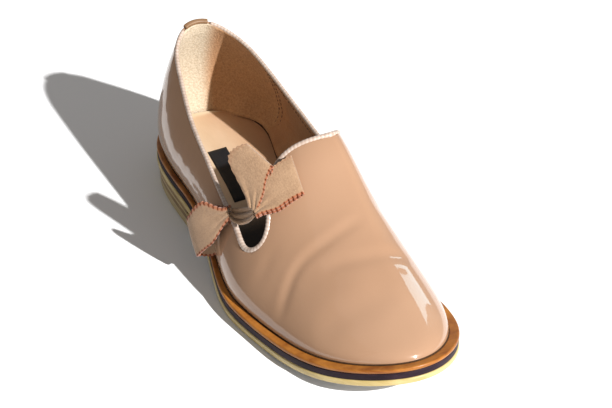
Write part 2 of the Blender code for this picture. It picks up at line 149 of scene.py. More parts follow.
def treadHeight(x):
    share = np.asarray(x, float) / sole["length"]
    past = np.clip(share - sole["flatTo"], 0, None) / (1 - sole["flatTo"])
    waist = smoothStep((sole["flatFrom"] - share) / (sole["flatFrom"] - sole["breast"]))
    return sole["toeSpring"] * past ** sole["toeCurl"] + sole["heelHeight"] * waist


def seatHeight(x):
    return treadHeight(x) + sole["stack"]


planShares = [0.0] + listed(planRows, "share") + [1.0]
ledgeWidth = spline(planShares, [sole["heelLedge"]] + listed(planRows, "ledge") + [sole["toeLedge"]])


def fullness(widths):
    ends = [math.sqrt(sole[radius] * sole["length"] / 2) for radius in ("heelRadius", "toeRadius")]
    inside = [width / (2 * math.sqrt(row.share * (1 - row.share))) for row, width in zip(planRows, widths)]
    return spline(planShares, ends[:1] + inside + ends[1:])


sideFullness = {outer: fullness(listed(planRows, "outer")), inner: fullness(listed(planRows, "inner"))}
Plan = namedtuple("Plan", "start end edges")


def planCurve(inset=0.0, onLedge=False):
    angle = np.linspace(0, math.pi, sole["planSteps"] + 1)
    share = (1 - np.cos(angle)) / 2
    drawn = inset + (ledgeWidth(share) if onLedge else 0)
    start = inset + sole["heelLedge"] * onLedge
    end = sole["length"] - inset - sole["toeLedge"] * onLedge
    edges = {}
    for side in (outer, inner):
        line = np.stack([share * sole["length"], sideFullness[side](share) * np.sin(angle)])
        heading = np.gradient(line, axis=1)
        heading /= np.linalg.norm(heading, axis=0)
        edge = line + drawn * np.stack([heading[1], -heading[0]])
        edge[:, 0] = start, 0
        edge[:, -1] = end, 0
        edges[side] = edge
    return Plan(start, end, edges)


def halfWidth(plan, x, side):
    along, across = plan.edges[side]
    return np.interp(x, along, np.clip(across, 0, None))


# Where the shoe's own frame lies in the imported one
midsoleLow = np.array(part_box("midsole")[0])
shift = np.array([midsoleLow[0], midsoleLow[1] + planCurve().edges[outer][1].max() * mm, 0.0])
print("shoe's frame starts at", shift.round(5))

# The upper's sections and the edge of its opening, as the solids have them
upper = {
    "wall": 2.0,
    "skin": 0.9,  # patent leather alone
    "nose": 9.0,
    "bulgeHeight": 12.0,
    "narrow": 20.0,
    "backHeight": 63.0,
    "backSwell": 3.5,
    "swellReach": 0.9,
    "swellPower": 1.2,
    "backLean": 9.0,
    "leanFrom": 0.25,
    "leanPower": 1.7,
    "leanReach": 95.0,
    "leanRounds": 8,
    "edgeSteps": 300,
    "setback": 1.0,  # the leather stops this far inside the bound edge
    "tongueShare": 0.997,
    "unroll": 1.1,  # length of a section over its straight diagonal
    "seamSteps": 56,
    "meshStep": 1.45,
    "latticeRow": 0.866,  # in mesh steps
    "latticeClear": 0.6,
    "drapeLoss": 0.85,  # the quarter ripples, the vamp hardly does
    "drapeFrom": 100.0,
    "drapeOver": 50.0,
}
nudge = {"along": 0.02, "turn": 0.002}  # steps that a normal is taken over
sectionRows = table(
    "x ridge across heightPower widthPower bulge overhang",
    (0.0, 112.0, 0.0, 2.2, 2.0, 2.5, 0.0),
    (30.0, 92.0, 0.0, 2.15, 2.0, 2.5, 0.5),
    (60.0, 86.5, 0.0, 2.1, 2.0, 2.5, 4.0),
    (85.0, 88.0, 3.0, 2.0, 1.98, 2.2, 8.0),
    (105.0, 90.0, 6.0, 1.85, 1.95, 2.0, 9.0),
    (145.0, 86.0, 12.0, 1.45, 1.8, 1.8, 4.0),
    (165.0, 70.5, 13.0, 1.42, 1.83, 1.6, 2.2),
    (185.0, 57.6, 12.0, 1.44, 1.87, 1.5, 1.5),
    (205.0, 48.4, 9.0, 1.5, 1.95, 1.4, 1.0),
    (225.0, 42.4, 5.0, 1.6, 2.05, 1.2, 0.5),
    (245.0, 38.2, 2.0, 1.7, 2.15, 1.1, 0.0),
    (262.5, 36.5, 0.0, 1.75, 2.2, 1.0, 0.0),
)
sectionX = listed(sectionRows, "x")
section = {name: spline(sectionX, listed(sectionRows, name)) for name in sectionRows[0]._fields[1:]}
outerEdge = table(
    "x z",
    (8.0, 87.5),
    (12.5, 84.8),
    (18.0, 80.9),
    (26.0, 76.6),
    (36.0, 72.2),
    (46.0, 68.0),
    (56.0, 64.0),
    (66.0, 60.5),
    (78.0, 57.2),
    (92.0, 53.6),
    (106.0, 49.8),
    (120.0, 46.6),
    (134.0, 43.6),
    (147.2, 38.6),
    (155.6, 36.6),
    (159.9, 39.9),
    (158.6, 46.4),
    (152.2, 54.4),
    (143.5, 64.5),
    (139.3, 73.0),
    (139.3, 79.5),
    (141.8, 84.2),
    (145.5, 87.0),
)
innerEdge = table(
    "x z",
    (8.0, 87.5),
    (12.5, 85.6),
    (18.0, 82.4),
    (26.0, 79.0),
    (36.0, 75.5),
    (46.0, 72.3),
    (56.0, 69.3),
    (66.0, 66.4),
    (78.0, 63.0),
    (92.0, 59.7),
    (103.0, 57.6),
    (111.0, 58.0),
    (118.0, 62.3),
    (126.0, 70.0),
    (133.0, 77.3),
    (139.5, 83.0),
    (145.5, 87.0),
)
openingEdge = {outer: outerEdge, inner: innerEdge}


def backLean(x, rise):
    share = rise / upper["backHeight"]
    wave = np.sin(np.pi * np.clip(share / upper["swellReach"], 0, 1))
    swell = upper["backSwell"] * wave ** upper["swellPower"]
    lean = upper["backLean"] * np.clip(share - upper["leanFrom"], 0, None) ** upper["leanPower"]
    return (lean - swell) * np.clip(1 - x / upper["leanReach"], 0, 1) ** 2


def ridgeRise(plan, x, depth):
    share = np.clip((x - plan.start) / (plan.end - plan.start), 0, 1)
    return (section["ridge"](x) - depth - seatHeight(x)) * np.sqrt(1 - share ** upper["nose"])


def wallAcross(plan, x, rise, side, turn):
    half = halfWidth(plan, x, side)
    fade = np.clip(half / upper["narrow"], 0, 1)
    middle = section["across"](x) * fade
    across = middle + (side * half - middle) * np.clip(np.cos(turn), 0, 1) ** (2 / section["widthPower"](x))
    swell = rise / upper["bulgeHeight"] * np.exp(1 - rise / upper["bulgeHeight"]) * np.cos(turn)
    lean = section["overhang"](x) * np.sin(2 * turn) if side == inner else 0.0
    return across + fade * (side * section["bulge"](x) * swell + lean)


def wallSurface(plan, x, turn, side, depth):
    # turn runs from 0 at the sole to a quarter circle at the ridge
    rise = ridgeRise(plan, x, depth) * np.sin(turn) ** (2 / section["heightPower"](x))
    across = wallAcross(plan, x, rise, side, turn)
    return np.stack([x + backLean(x, rise), across, seatHeight(x) + rise], axis=-1)


def wallFoot(plan, x, z, depth):
    # the column and turn of the wall's point at a place along and a height
    column = np.array(x, float)
    for _ in range(upper["leanRounds"]):
        column = np.clip(x - backLean(column, z - seatHeight(column)), plan.start, plan.end)
    share = np.clip((z - seatHeight(column)) / np.maximum(ridgeRise(plan, column, depth), 1e-6), 0, 1)
    return column, np.arcsin(share ** (section["heightPower"](column) / 2))


def wallNormal(plan, x, turn, side, depth):
    # outwards, from small steps along the shoe and up the wall
    behind = np.clip(x - nudge["along"], plan.start, None)
    ahead = np.clip(x + nudge["along"], None, plan.end)
    along = wallSurface(plan, ahead, turn, side, depth) - wallSurface(plan, behind, turn, side, depth)
    below = np.clip(turn - nudge["turn"], 0, None)
    above = np.clip(turn + nudge["turn"], None, quarterTurn)
    up = wallSurface(plan, x, above, side, depth) - wallSurface(plan, x, below, side, depth)
    return unit(np.cross(along, up)) * -side


def edgePath(edge, into):
    # the opening's edge, moved into the leather
    points = np.array(edge, float)
    chord = walkedAlong(points)
    where = np.linspace(0, chord[-1], upper["edgeSteps"] + 1)
    line = np.stack([spline(chord, values)(where) for values in points.T], axis=1)
    heading = unit(np.gradient(line, axis=0))
    return line + into * np.stack([heading[:, 1], -heading[:, 0]], axis=1)


# Mesh helpers


def toFrame(points):
    return np.asarray(points, float) * mm + shift


def addObject(name, data):
    added = bpy.data.objects.new(name, data)
    bpy.context.collection.objects.link(added)
    return added


def faceOutwards(mesh, weld=False):
    body = bmesh.new()
    body.from_mesh(mesh)
    if weld:
        bmesh.ops.remove_doubles(body, verts=body.verts, dist=1e-7)
    bmesh.ops.recalc_face_normals(body, faces=body.faces)
    body.to_mesh(mesh)
    body.free()


def newPiece(name, points, faces, finish, nodes=(), closed=True):
    mesh = bpy.data.meshes.new(name)
    mesh.from_pydata(toFrame(points).tolist(), [], [tuple(int(i) for i in face) for face in faces])
    if closed:
        faceOutwards(mesh, weld=True)
    mesh.shade_smooth()
    mesh.materials.append(finish)
    piece = addObject(name, mesh)
    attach(piece, "root")
    if nodes:
        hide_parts(*nodes)
    print("made", name, len(mesh.polygons), "faces")
    return piece


def gridFaces(rows, columns, first=0, loop=False):
    faces = []
    for row in range(rows - 1):
        for column in range(columns if loop else columns - 1):
            here, there = first + row * columns + column, first + row * columns + (column + 1) % columns
            faces.append((here, there, there + columns, here + columns))
    return faces


def rimFaces(rows, columns):
    # joins the borders of two grids that lie one after the other
    rim = list(range(columns))
    rim += [row * columns + columns - 1 for row in range(1, rows)]
    rim += [(rows - 1) * columns + column for column in range(columns - 2, -1, -1)]
    rim += [row * columns for row in range(rows - 2, 0, -1)]
    below = rows * columns
    return [(here, there, there + below, here + below) for here, there in zip(rim, rim[1:] + rim[:1])]


def sweep(route, facing, ring):
    # ring(walked) gives offsets along the facing and across it, for every step of the route
    heading = unit(np.gradient(route, axis=0))
    facing = unit(facing - heading * np.sum(facing * heading, axis=1, keepdims=True))
    across = np.cross(heading, facing)
    outwards, sideways = ring(walkedAlong(route))
    rows, columns = outwards.shape
    points = route[:, None] + facing[:, None] * outwards[..., None] + across[:, None] * sideways[..., None]
    faces = gridFaces(rows, columns, loop=True)
    faces += [tuple(range(columns)), tuple((rows - 1) * columns + i for i in range(columns))]
    return points.reshape(-1, 3), faces


def setAttribute(piece, name, values):
    layer = piece.data.attributes.new(name, "FLOAT", "POINT")
    layer.data.foreach_set("value", np.asarray(values, np.float32))


def addThickness(piece, thickness):
    solid = piece.modifiers.new("thickness", "SOLIDIFY")
    solid.thickness = thickness * mm
    solid.offset = -1.0


# Material helpers


def newFinish(name, sockets=None):
    made = bpy.data.materials.new(name)
    made.use_nodes = True
    shader = made.node_tree.nodes["Principled BSDF"]
    for socket, value in (sockets or {}).items():
        shader.inputs[socket].default_value = value
    return made, made.node_tree, shader


def feed(shader, socket, output):
    shader.id_data.links.new(output, shader.inputs[socket])


def addNode(tree, kind, values=None, **settings):
    made = tree.nodes.new("ShaderNode" + kind)
    for key, value in settings.items():
        setattr(made, key, value)
    for key, value in (values or {}).items():
        made.inputs[key].default_value = value
    return made


def shoeCoords(tree, stretch=(1, 1, 1)):
    coords = addNode(tree, "TexCoord")
    mapping = addNode(tree, "Mapping", {"Scale": stretch})
    tree.links.new(coords.outputs["Object"], mapping.inputs["Vector"])
    return mapping.outputs["Vector"]


def noise(tree, coords, scale, detail=3.0, rough=0.5):
    made = addNode(tree, "TexNoise", {"Scale": scale, "Detail": detail, "Roughness": rough})
    tree.links.new(coords, made.inputs["Vector"])
    return made.outputs[0]


def cells(tree, coords, scale):
    made = addNode(tree, "TexVoronoi", {"Scale": scale})
    tree.links.new(coords, made.inputs["Vector"])
    return made.outputs["Distance"]


def ramp(tree, factor, deep, pale, low=0.3, high=0.7):
    made = addNode(tree, "ValToRGB")
    for element, where, colour in zip(made.color_ramp.elements, (low, high), (deep, pale)):
        element.position = where
        element.color = (*colour, 1)
    tree.links.new(factor, made.inputs["Fac"])
    return made.outputs["Color"]


def spread(tree, factor, low, high, fromLow=0.0, fromHigh=1.0):
    made = addNode(
        tree, "MapRange", {"From Min": fromLow, "From Max": fromHigh, "To Min": low, "To Max": high}
    )
    tree.links.new(factor, made.inputs["Value"])
    return made.outputs["Result"]


def mixColour(tree, factor, first, second, blend="MIX"):
    made = addNode(tree, "Mix", data_type="RGBA", blend_type=blend)
    for socket, value in ((made.inputs[0], factor), (made.inputs[6], first), (made.inputs[7], second)):
        if isinstance(value, (tuple, float)):
            socket.default_value = (*value, 1) if isinstance(value, tuple) else value
        else:
            tree.links.new(value, socket)
    return made.outputs[2]


def bump(tree, height, distance, strength, under=None):
    made = addNode(tree, "Bump", {"Distance": distance, "Strength": strength})
    tree.links.new(height, made.inputs["Height"])
    if under is not None:
        tree.links.new(under, made.inputs["Normal"])
    return made.outputs["Normal"]


def attribute(tree, name):
    return addNode(tree, "Attribute", attribute_name=name).outputs["Fac"]


# Finishes

patentLook = {
    "deep": (0.305, 0.176, 0.104),
    "pale": (0.348, 0.206, 0.125),
    "sockets": {"Coat Weight": 1.0, "Coat Roughness": 0.035, "Coat IOR": 1.55, "Specular IOR Level": 0.1},
}


def patentFinish():
    made, tree, shader = newFinish("patentLeather", patentLook["sockets"])
    coords = shoeCoords(tree)
    tone = noise(tree, coords, scale=16, detail=2.0)
    feed(shader, "Base Color", ramp(tree, tone, patentLook["deep"], patentLook["pale"]))
    haze = noise(tree, coords, scale=420, detail=4.0, rough=0.6)
    feed(shader, "Roughness", spread(tree, haze, low=0.2, high=0.3))
    wave = bump(tree, noise(tree, coords, scale=55, detail=1.5), distance=0.0006, strength=0.13)
    drape = addNode(tree, "Math", operation="MULTIPLY")
    hanging = noise(tree, shoeCoords(tree, (1, 1, 0.3)), scale=95, detail=1.5)
    tree.links.new(hanging, drape.inputs[0])
    tree.links.new(attribute(tree, "quarter"), drape.inputs[1])
    wave = bump(tree, drape.outputs[0], distance=0.0006, strength=0.5, under=wave)
    peel = noise(tree, coords, scale=700, detail=2.0)
    feed(shader, "Normal", bump(tree, peel, distance=0.00006, strength=0.25, under=wave))
    feed(shader, "Coat Normal", wave)
    return made


liningLook = {
    "deep": (0.40, 0.28, 0.17),
    "pale": (0.50, 0.385, 0.265),
    "nap": (0.42, 0.335, 0.235),
    "napPale": (0.56, 0.47, 0.35),
    # tan and the next three lines set painted shade: the inner side's lining turns darker and oranger where
    # the inner wall's shadow falls
    "tan": (0.74, 0.31, 0.05),
    "shadeShare": 0.65,
    "shadeFrom": 5.0,
    "shadeOver": 9.0,
    # painted shade under the vamp
    "dark": (0.016, 0.009, 0.005),
    "sockets": {"Sheen Weight": 0.06, "Specular IOR Level": 0.2},
}


def liningFinish():
    # suede on the heel's counter, smooth leather ahead of it; painted shade tints the inner side and darkens
    # the lining under the vamp
    made, tree, shader = newFinish("liningLeather", liningLook["sockets"])
    coords = shoeCoords(tree)
    tone = noise(tree, coords, scale=60, detail=4.0, rough=0.6)
    leather = ramp(tree, tone, liningLook["deep"], liningLook["pale"])
    speckle = noise(tree, coords, scale=850, detail=3.0, rough=0.7)
    suede = ramp(tree, speckle, liningLook["nap"], liningLook["napPale"], low=0.36, high=0.62)
    counter = attribute(tree, "counter")
    bothLeathers = mixColour(tree, counter, leather, suede)
    # painted shade: the inner side multiplied towards tan
    bothLeathers = mixColour(tree, attribute(tree, "worn"), bothLeathers, liningLook["tan"], "MULTIPLY")
    # painted shade: the lining goes dark under the vamp
    whole = mixColour(tree, attribute(tree, "front"), bothLeathers, liningLook["dark"])
    feed(shader, "Base Color", whole)
    pores = bump(tree, cells(tree, coords, scale=1100), distance=0.0001, strength=0.35)
    feed(shader, "Normal", bump(tree, speckle, distance=0.0006, strength=0.8, under=pores))
    feed(shader, "Roughness", spread(tree, counter, low=0.55, high=0.95))
    return made


insoleLook = {
    "deep": (0.57, 0.445, 0.30),
    "pale": (0.65, 0.535, 0.385),
    # painted shade: the colour multiplied over the footbed's inner side, where the inner wall's shadow falls
    "worn": (0.61, 0.22, 0.03),
    # painted shade under the vamp
    "dark": (0.016, 0.009, 0.005),
    "sockets": {"Specular IOR Level": 0.25},
}


def insoleFinish():
    made, tree, shader = newFinish("footbedLeather", insoleLook["sockets"])
    coords = shoeCoords(tree, (0.35, 1, 1))
    tone = noise(tree, coords, scale=70, detail=5.0, rough=0.6)
    sock = ramp(tree, tone, insoleLook["deep"], insoleLook["pale"], high=0.72)
    # painted shade over the footbed's inner side
    sock = mixColour(tree, attribute(tree, "worn"), sock, insoleLook["worn"], "MULTIPLY")
    # painted shade: the footbed goes dark under the vamp
    feed(shader, "Base Color", mixColour(tree, attribute(tree, "front"), sock, insoleLook["dark"]))
    grain = bump(tree, cells(tree, coords, scale=1300), distance=0.00012, strength=0.4)
    fine = noise(tree, coords, scale=260)
    feed(shader, "Normal", bump(tree, fine, distance=0.0002, strength=0.4, under=grain))
    feed(shader, "Roughness", spread(tree, tone, low=0.45, high=0.62))
    return made


# two tones of each layer's edge, its gloss, and how fine its fibres are
edgeLooks = table(
    "slot deep pale rough gloss coat streak",
    ("outsole", (0.39, 0.281, 0.094), (0.53, 0.413, 0.187), 0.42, 0.4, 0.15, 900),
    ("midsole", (0.010, 0.0045, 0.008), (0.026, 0.013, 0.020), 0.5, 0.12, 0.02, 700),
    ("welt", (0.19, 0.055, 0.008), (0.40, 0.155, 0.026), 0.36, 0.22, 0.12, 800),
    ("heel_pale", (0.39, 0.289, 0.117), (0.53, 0.421, 0.218), 0.45, 0.4, 0.15, 900),
    ("heel_brown", (0.156, 0.09, 0.031), (0.281, 0.172, 0.07), 0.45, 0.4, 0.15, 900),
)
treadTone = (0.46, 0.44, 0.41)  # the walked-on underside


def edgeFinish(look):
    # a burnished leather edge: fibres streak along it and the tone wanders
    gloss = {"Specular IOR Level": look.gloss, "Coat Weight": look.coat, "Coat Roughness": 0.2}
    made, tree, shader = newFinish(look.slot + "Edge", gloss)
    fibres = noise(tree, shoeCoords(tree, (0.12, 0.12, 1)), scale=look.streak, detail=4.0, rough=0.65)
    patches = noise(tree, shoeCoords(tree), scale=45)
    edge = ramp(tree, mixColour(tree, 0.5, fibres, patches), look.deep, look.pale, low=0.36, high=0.62)
    facing = addNode(tree, "SeparateXYZ")
    tree.links.new(addNode(tree, "NewGeometry").outputs["Normal"], facing.inputs[0])
    under = spread(tree, facing.outputs["Z"], low=1.0, high=0.0, fromLow=-0.95, fromHigh=-0.6)
    feed(shader, "Base Color", mixColour(tree, under, edge, treadTone))
    feed(shader, "Roughness", spread(tree, fibres, low=look.rough - 0.08, high=look.rough + 0.12))
    feed(shader, "Normal", bump(tree, fibres, distance=0.00025, strength=0.35))
    return made


bindingLook = {
    "deep": (0.385, 0.285, 0.222),
    "pale": (0.505, 0.41, 0.345),
    "grooveTone": (0.27, 0.165, 0.115),
    "sockets": {"Coat Weight": 0.3, "Coat Roughness": 0.15},
}


def bindingFinish():
    # pale folded strip, darker in the grooves between its ridges
    made, tree, shader = newFinish("paleBinding", bindingLook["sockets"])
    tone = noise(tree, shoeCoords(tree), scale=240, detail=4.0, rough=0.6)
    colour = ramp(tree, tone, bindingLook["deep"], bindingLook["pale"], high=0.6)
    # the colour goes darker in the grooves between the ridges
    groove = spread(tree, attribute(tree, "groove"), low=0.0, high=0.55)
    feed(shader, "Base Color", mixColour(tree, groove, colour, bindingLook["grooveTone"]))
    feed(shader, "Roughness", spread(tree, tone, low=0.32, high=0.5))
    feed(shader, "Normal", bump(tree, tone, distance=0.00012, strength=0.3))
    return made


tabLook = {"deep": (0.185, 0.095, 0.043), "pale": (0.245, 0.145, 0.076)}


def tabFinish():
    made, tree, shader = newFinish("tanTab")
    coords = shoeCoords(tree)
    tone = noise(tree, coords, scale=180, detail=4.0, rough=0.6)
    feed(shader, "Base Color", ramp(tree, tone, tabLook["deep"], tabLook["pale"]))
    feed(shader, "Roughness", spread(tree, tone, low=0.45, high=0.62))
    feed(shader, "Normal", bump(tree, cells(tree, coords, scale=1200), distance=0.0001, strength=0.4))
    return made


ribbonLook = {
    "deep": (0.22, 0.125, 0.064),
    "pale": (0.325, 0.198, 0.109),
    "copper": (0.30, 0.09, 0.032),
    "burnt": (0.09, 0.018, 0.004),
    "sockets": {"Sheen Roughness": 0.5},
}


def ribbonFinish():
    # felted ribbon whose pinked edges are sealed in copper thread with dark dots
    made, tree, shader = newFinish("feltRibbon", ribbonLook["sockets"])
    coords = shoeCoords(tree)
    nap = noise(tree, coords, scale=1000, detail=5.0, rough=0.75)
    felt = mixColour(tree, 0.35, nap, noise(tree, coords, scale=90))
    cloth = ramp(tree, felt, ribbonLook["deep"], ribbonLook["pale"], low=0.36, high=0.6)
    dots = attribute(tree, "dots")
    edged = mixColour(tree, attribute(tree, "rim"), cloth, ribbonLook["copper"])
    feed(shader, "Base Color", mixColour(tree, dots, edged, ribbonLook["burnt"]))
    feed(shader, "Roughness", spread(tree, nap, low=0.75, high=0.95))
    feed(shader, "Normal", bump(tree, nap, distance=0.0006, strength=0.7))
    feed(shader, "Sheen Weight", spread(tree, dots, low=0.3, high=0.0))
    feed(shader, "Specular IOR Level", spread(tree, dots, low=0.5, high=0.1))
    return made


def plainFinish(look):
    # one noise drives the tone, and where the look says so the roughness and relief
    made, tree, shader = newFinish(look["name"], look.get("sockets"))
    coords = shoeCoords(tree, look.get("stretch", (1, 1, 1)))
    tone = noise(tree, coords, look["scale"], look.get("detail", 3.0))
    feed(shader, "Base Color", ramp(tree, tone, look["deep"], look["pale"]))
    if "rough" in look:
        feed(shader, "Roughness", spread(tree, tone, *look["rough"]))
    if "relief" in look:
        feed(shader, "Normal", bump(tree, tone, *look["relief"]))
    return made


# Creases of the vamp: a soft trough with a low ridge beside it
creases = table(
    "depth width path",
    (
        0.66, 3.0,
        ((200.0, -44.0), (195.0, -41.0), (187.5, -31.0), (186.0, -19.0), (186.0, -6.0), (184.0, 12.0)),
    ),
    (0.6, 4.0, ((195.0, -21.0), (201.0, -6.0), (204.0, 8.0), (205.0, 20.0), (203.0, 30.0))),
    (0.7, 9.0, ((221.0, -38.0), (226.0, -16.0), (222.0, 9.0))),
    (0.35, 4.0, ((176.0, -46.0), (172.0, -40.0), (169.0, -30.0))),
    (0.4, 4.5, ((168.0, 20.0), (176.0, 26.0), (180.0, 33.0))),
)
creaseLook = {"ridge": 0.22, "ridgeAway": 1.5, "endFade": 14.0, "endStart": 0.15, "steps": 60}


def creaseShift(points):
    # how far the leather moves outwards at each point
    flat = points[:, :2]
    total = np.zeros(len(points))
    for crease in creases:
        count = len(crease.path)
        fine = np.linspace(0, count - 1, creaseLook["steps"])
        route = np.stack([spline(range(count), line)(fine) for line in np.array(crease.path).T], axis=1)
        walked = walkedAlong(route)
        gaps = np.linalg.norm(flat[:, None] - route[None], axis=2)
        nearest = gaps.argmin(axis=1)
        fromEnd = np.minimum(walked[nearest], walked[-1] - walked[nearest])
        ends = smoothStep(fromEnd / creaseLook["endFade"] + creaseLook["endStart"])
        heading = unit(np.gradient(route, axis=0))[nearest]
        away = flat - route[nearest]
        signed = heading[:, 0] * away[:, 1] - heading[:, 1] * away[:, 0]
        trough = np.exp(-((signed / crease.width) ** 2))
        ridge = np.exp(-((signed / crease.width - creaseLook["ridgeAway"]) ** 2))
        beyond = np.exp(-(np.maximum(gaps.min(axis=1) - np.abs(signed), 0) / crease.width) ** 2)
        total += crease.depth * (creaseLook["ridge"] * ridge - trough) * ends * beyond
    return total


# Upper and lining: each side is unrolled flat, filled with triangles up to its edge, and laid on the last


def sectionLength(plan, x, side, depth):
    return upper["unroll"] * np.hypot(ridgeRise(plan, x, depth), halfWidth(plan, x, side))


def openingLine(plan, side, setback, depth):
    # column and turn along the edge, from the back seam to the tongue
    path = edgePath(openingEdge[side], setback)
    column, turn = wallFoot(plan, path[:, 0], path[:, 1], depth)
    keep = (column > plan.start + 1e-3) & (np.sin(turn) < upper["tongueShare"])
    return column[keep], turn[keep]


def insidePolygon(points, polygon):
    inside = np.zeros(len(points), bool)
    for (x0, y0), (x1, y1) in zip(polygon, np.roll(polygon, -1, axis=0)):
        crosses = (y0 > points[:, 1]) != (y1 > points[:, 1])
        if y0 != y1:
            inside ^= crosses & (points[:, 0] < (x1 - x0) * (points[:, 1] - y0) / (y1 - y0) + x0)
    return inside


def latticeInside(border, step):
    # a triangular lattice that keeps clear of the border
    low, high = border.min(axis=0), border.max(axis=0)
    rows = []
    for k, height in enumerate(np.arange(low[1], high[1], step * upper["latticeRow"])):
        along = np.arange(low[0] + (k % 2) * step / 2, high[0], step)
        rows.append(np.stack([along, np.full(len(along), height)], axis=1))
    lattice = np.concatenate(rows)
    lattice = lattice[insidePolygon(lattice, border)]
    nearest = np.array([np.min(np.sum((border - point) ** 2, axis=1)) for point in lattice])
    return lattice[nearest > (upper["latticeClear"] * step) ** 2]


def wallShell(depth, step):
    # points, outward normals and triangles of the whole wall at a depth
    plan = planCurve(depth, onLedge=True)
    lines = {side: openingLine(plan, side, upper["setback"], depth) for side in (outer, inner)}
    seamTop = min(line[1][0] for line in lines.values())
    tongueX = max(line[0][-1] for line in lines.values())
    arcs = {side: (walkedAlong(edge.T), np.maximum.accumulate(edge[0])) for side, edge in plan.edges.items()}
    walked, along = arcs[outer]
    ridgeArc = np.interp(tongueX, along, walked)
    ridgeCount = int((walked[-1] - ridgeArc) / step)
    ridgeX = np.interp(np.linspace(ridgeArc, walked[-1], ridgeCount + 1), walked, along)
    seamTurns = np.linspace(0, seamTop, upper["seamSteps"])
    points, normals, faces, shared = [], [], [], {}
    for side in (outer, inner):
        walked, along = arcs[side]

        def flat(x, turn):
            up = turn / quarterTurn * sectionLength(plan, x, side, depth)
            return np.stack([np.interp(x, along, walked), up], axis=-1)

        # the border: sole, ridge, opening and back seam, with keys where the two sides meet
        soleX = np.interp(np.linspace(0, walked[-1], int(walked[-1] / step) + 1), walked, along)
        edgeFlat = evenly(flat(*lines[side]), step)
        edgeX = np.interp(edgeFlat[:, 0], walked, along)
        edgeTurn = edgeFlat[:, 1] / sectionLength(plan, edgeX, side, depth) * quarterTurn
        rim = [(x, 0.0, None) for x in soleX]
        rim[0] = (plan.start, 0.0, ("seam", 0))
        rim[-1] = (plan.end, 0.0, ("ridge", ridgeCount))
        rim += [(ridgeX[i], quarterTurn, ("ridge", i)) for i in range(ridgeCount - 1, -1, -1)]
        rim += [(x, turn, None) for x, turn in zip(edgeX[-2:0:-1], edgeTurn[-2:0:-1])]
        rim += [(plan.start, seamTurns[i], ("seam", i)) for i in range(len(seamTurns) - 1, 0, -1)]
        border = flat(np.array([row[0] for row in rim]), np.array([row[1] for row in rim]))
        count = len(border)
        flatPoints = np.concatenate([border, latticeInside(border, step)])
        edges = [(i, (i + 1) % count) for i in range(count)]
        made = delaunay_2d_cdt([Vector(point) for point in flatPoints], edges, [], 1, 1e-6)
        # back onto the last
        found = np.array([tuple(point) for point in made[0]])
        x = np.interp(found[:, 0], walked, along)
        height = np.maximum(sectionLength(plan, x, side, depth), 1e-9)
        turn = np.clip(found[:, 1] / height * quarterTurn, 0, quarterTurn)
        keys = [None] * len(found)
        for i, origins in enumerate(made[3]):
            for origin in origins:
                if origin < count:
                    x[i], turn[i], keys[i] = rim[origin]
        place = wallSurface(plan, x, turn, side, depth)
        facing = wallNormal(plan, x, turn, side, depth)
        index = []
        for i, key in enumerate(keys):
            if key is not None and key in shared:
                index.append(shared[key])
                continue
            index.append(len(points))
            points.append(place[i])
            normals.append(facing[i])
            if key is not None:
                shared[key] = index[-1]
        for face in made[2]:
            corners = [index[i] for i in face]
            faces.append(corners if side == outer else corners[::-1])
    points, normals = np.array(points), np.array(normals)
    return points + normals * creaseShift(points)[:, None], normals, faces


def makeUpper(finish):
    points, _, faces = wallShell(0.0, upper["meshStep"])
    piece = newPiece("patent_upper", points, faces, finish, ("upper",), closed=False)
    vamp = smoothStep((points[:, 0] - upper["drapeFrom"]) / upper["drapeOver"])
    setAttribute(piece, "quarter", 1 - upper["drapeLoss"] * vamp)
    addThickness(piece, upper["skin"])


lining = {
    "depth": 1.05,
    "thickness": 0.9,
    "meshStep": 1.8,
    "counterX": 47.0,
    "counterStep": 0.35,
    "counterBlend": 1.6,
    "foot": 7.0,  # how far it rounds in to the footbed
    "footRise": 17.0,
    "footFrom": 3.0,
    "footPower": 2.2,
    "footBack": 3.0,
    "footBackOver": 16.0,
}
vampShadeSpan = {"start": 96.0, "full": 122.0}  # painted shade under the vamp: lining and footbed go dark where the toe box is in shadow


def shoePlaces(piece):
    return (np.array([tuple(point.co) for point in piece.data.vertices]) - shift) / mm


def vampShadeShare(piece):
    # how far a point lies into the painted shade under the vamp
    start, full = vampShadeSpan["start"], vampShadeSpan["full"]
    return smoothStep((shoePlaces(piece)[:, 0] - start) / (full - start))


def liningFoot(points):
    # the lining rounds inwards to the footbed
    height = points[:, 2] - seatHeight(points[:, 0]) - lining["footFrom"]
    sides = smoothStep((points[:, 0] - lining["footBack"]) / lining["footBackOver"])
    left = np.clip(1 - np.clip(height, 0, None) / lining["footRise"], 0, 1)
    return lining["foot"] * sides * left ** lining["footPower"]


def makeLining(finish):
    points, normals, faces = wallShell(lining["depth"], lining["meshStep"])
    blend = lining["counterBlend"]
    counter = smoothStep((lining["counterX"] + blend / 2 - points[:, 0]) / blend)
    inwards = counter * lining["counterStep"] + liningFoot(points)
    # painted shade on the inner side, rising across y where the inner wall's shadow lies
    worn = smoothStep((points[:, 1] - liningLook["shadeFrom"]) / liningLook["shadeOver"])
    points = points - normals * inwards[:, None]
    piece = newPiece("wall_lining", points, faces, finish, closed=False)
    setAttribute(piece, "counter", counter)
    setAttribute(piece, "worn", liningLook["shadeShare"] * worn)
    # painted shade under the vamp
    setAttribute(piece, "front", vampShadeShare(piece))
    addThickness(piece, lining["thickness"])


# Bound edge of the opening

binding = {
    "radius": 1.2,
    "wide": 1.3,
    "thick": 1.15,
    "ringCount": 14,
    "step": 0.34,
    "smoothRounds": 130,
    "whip": 0.05,
    "whipPitch": 2.1,
    "whipSlant": 1.2,
    "groovePower": 3,
    "frontFuller": 0.25,
    "frontFrom": 118.0,
    "frontOver": 20.0,
    "tabGap": 8.0,
    "ridgeGap": 0.02,  # turn left before the ridge, where the facing is unsteady
}


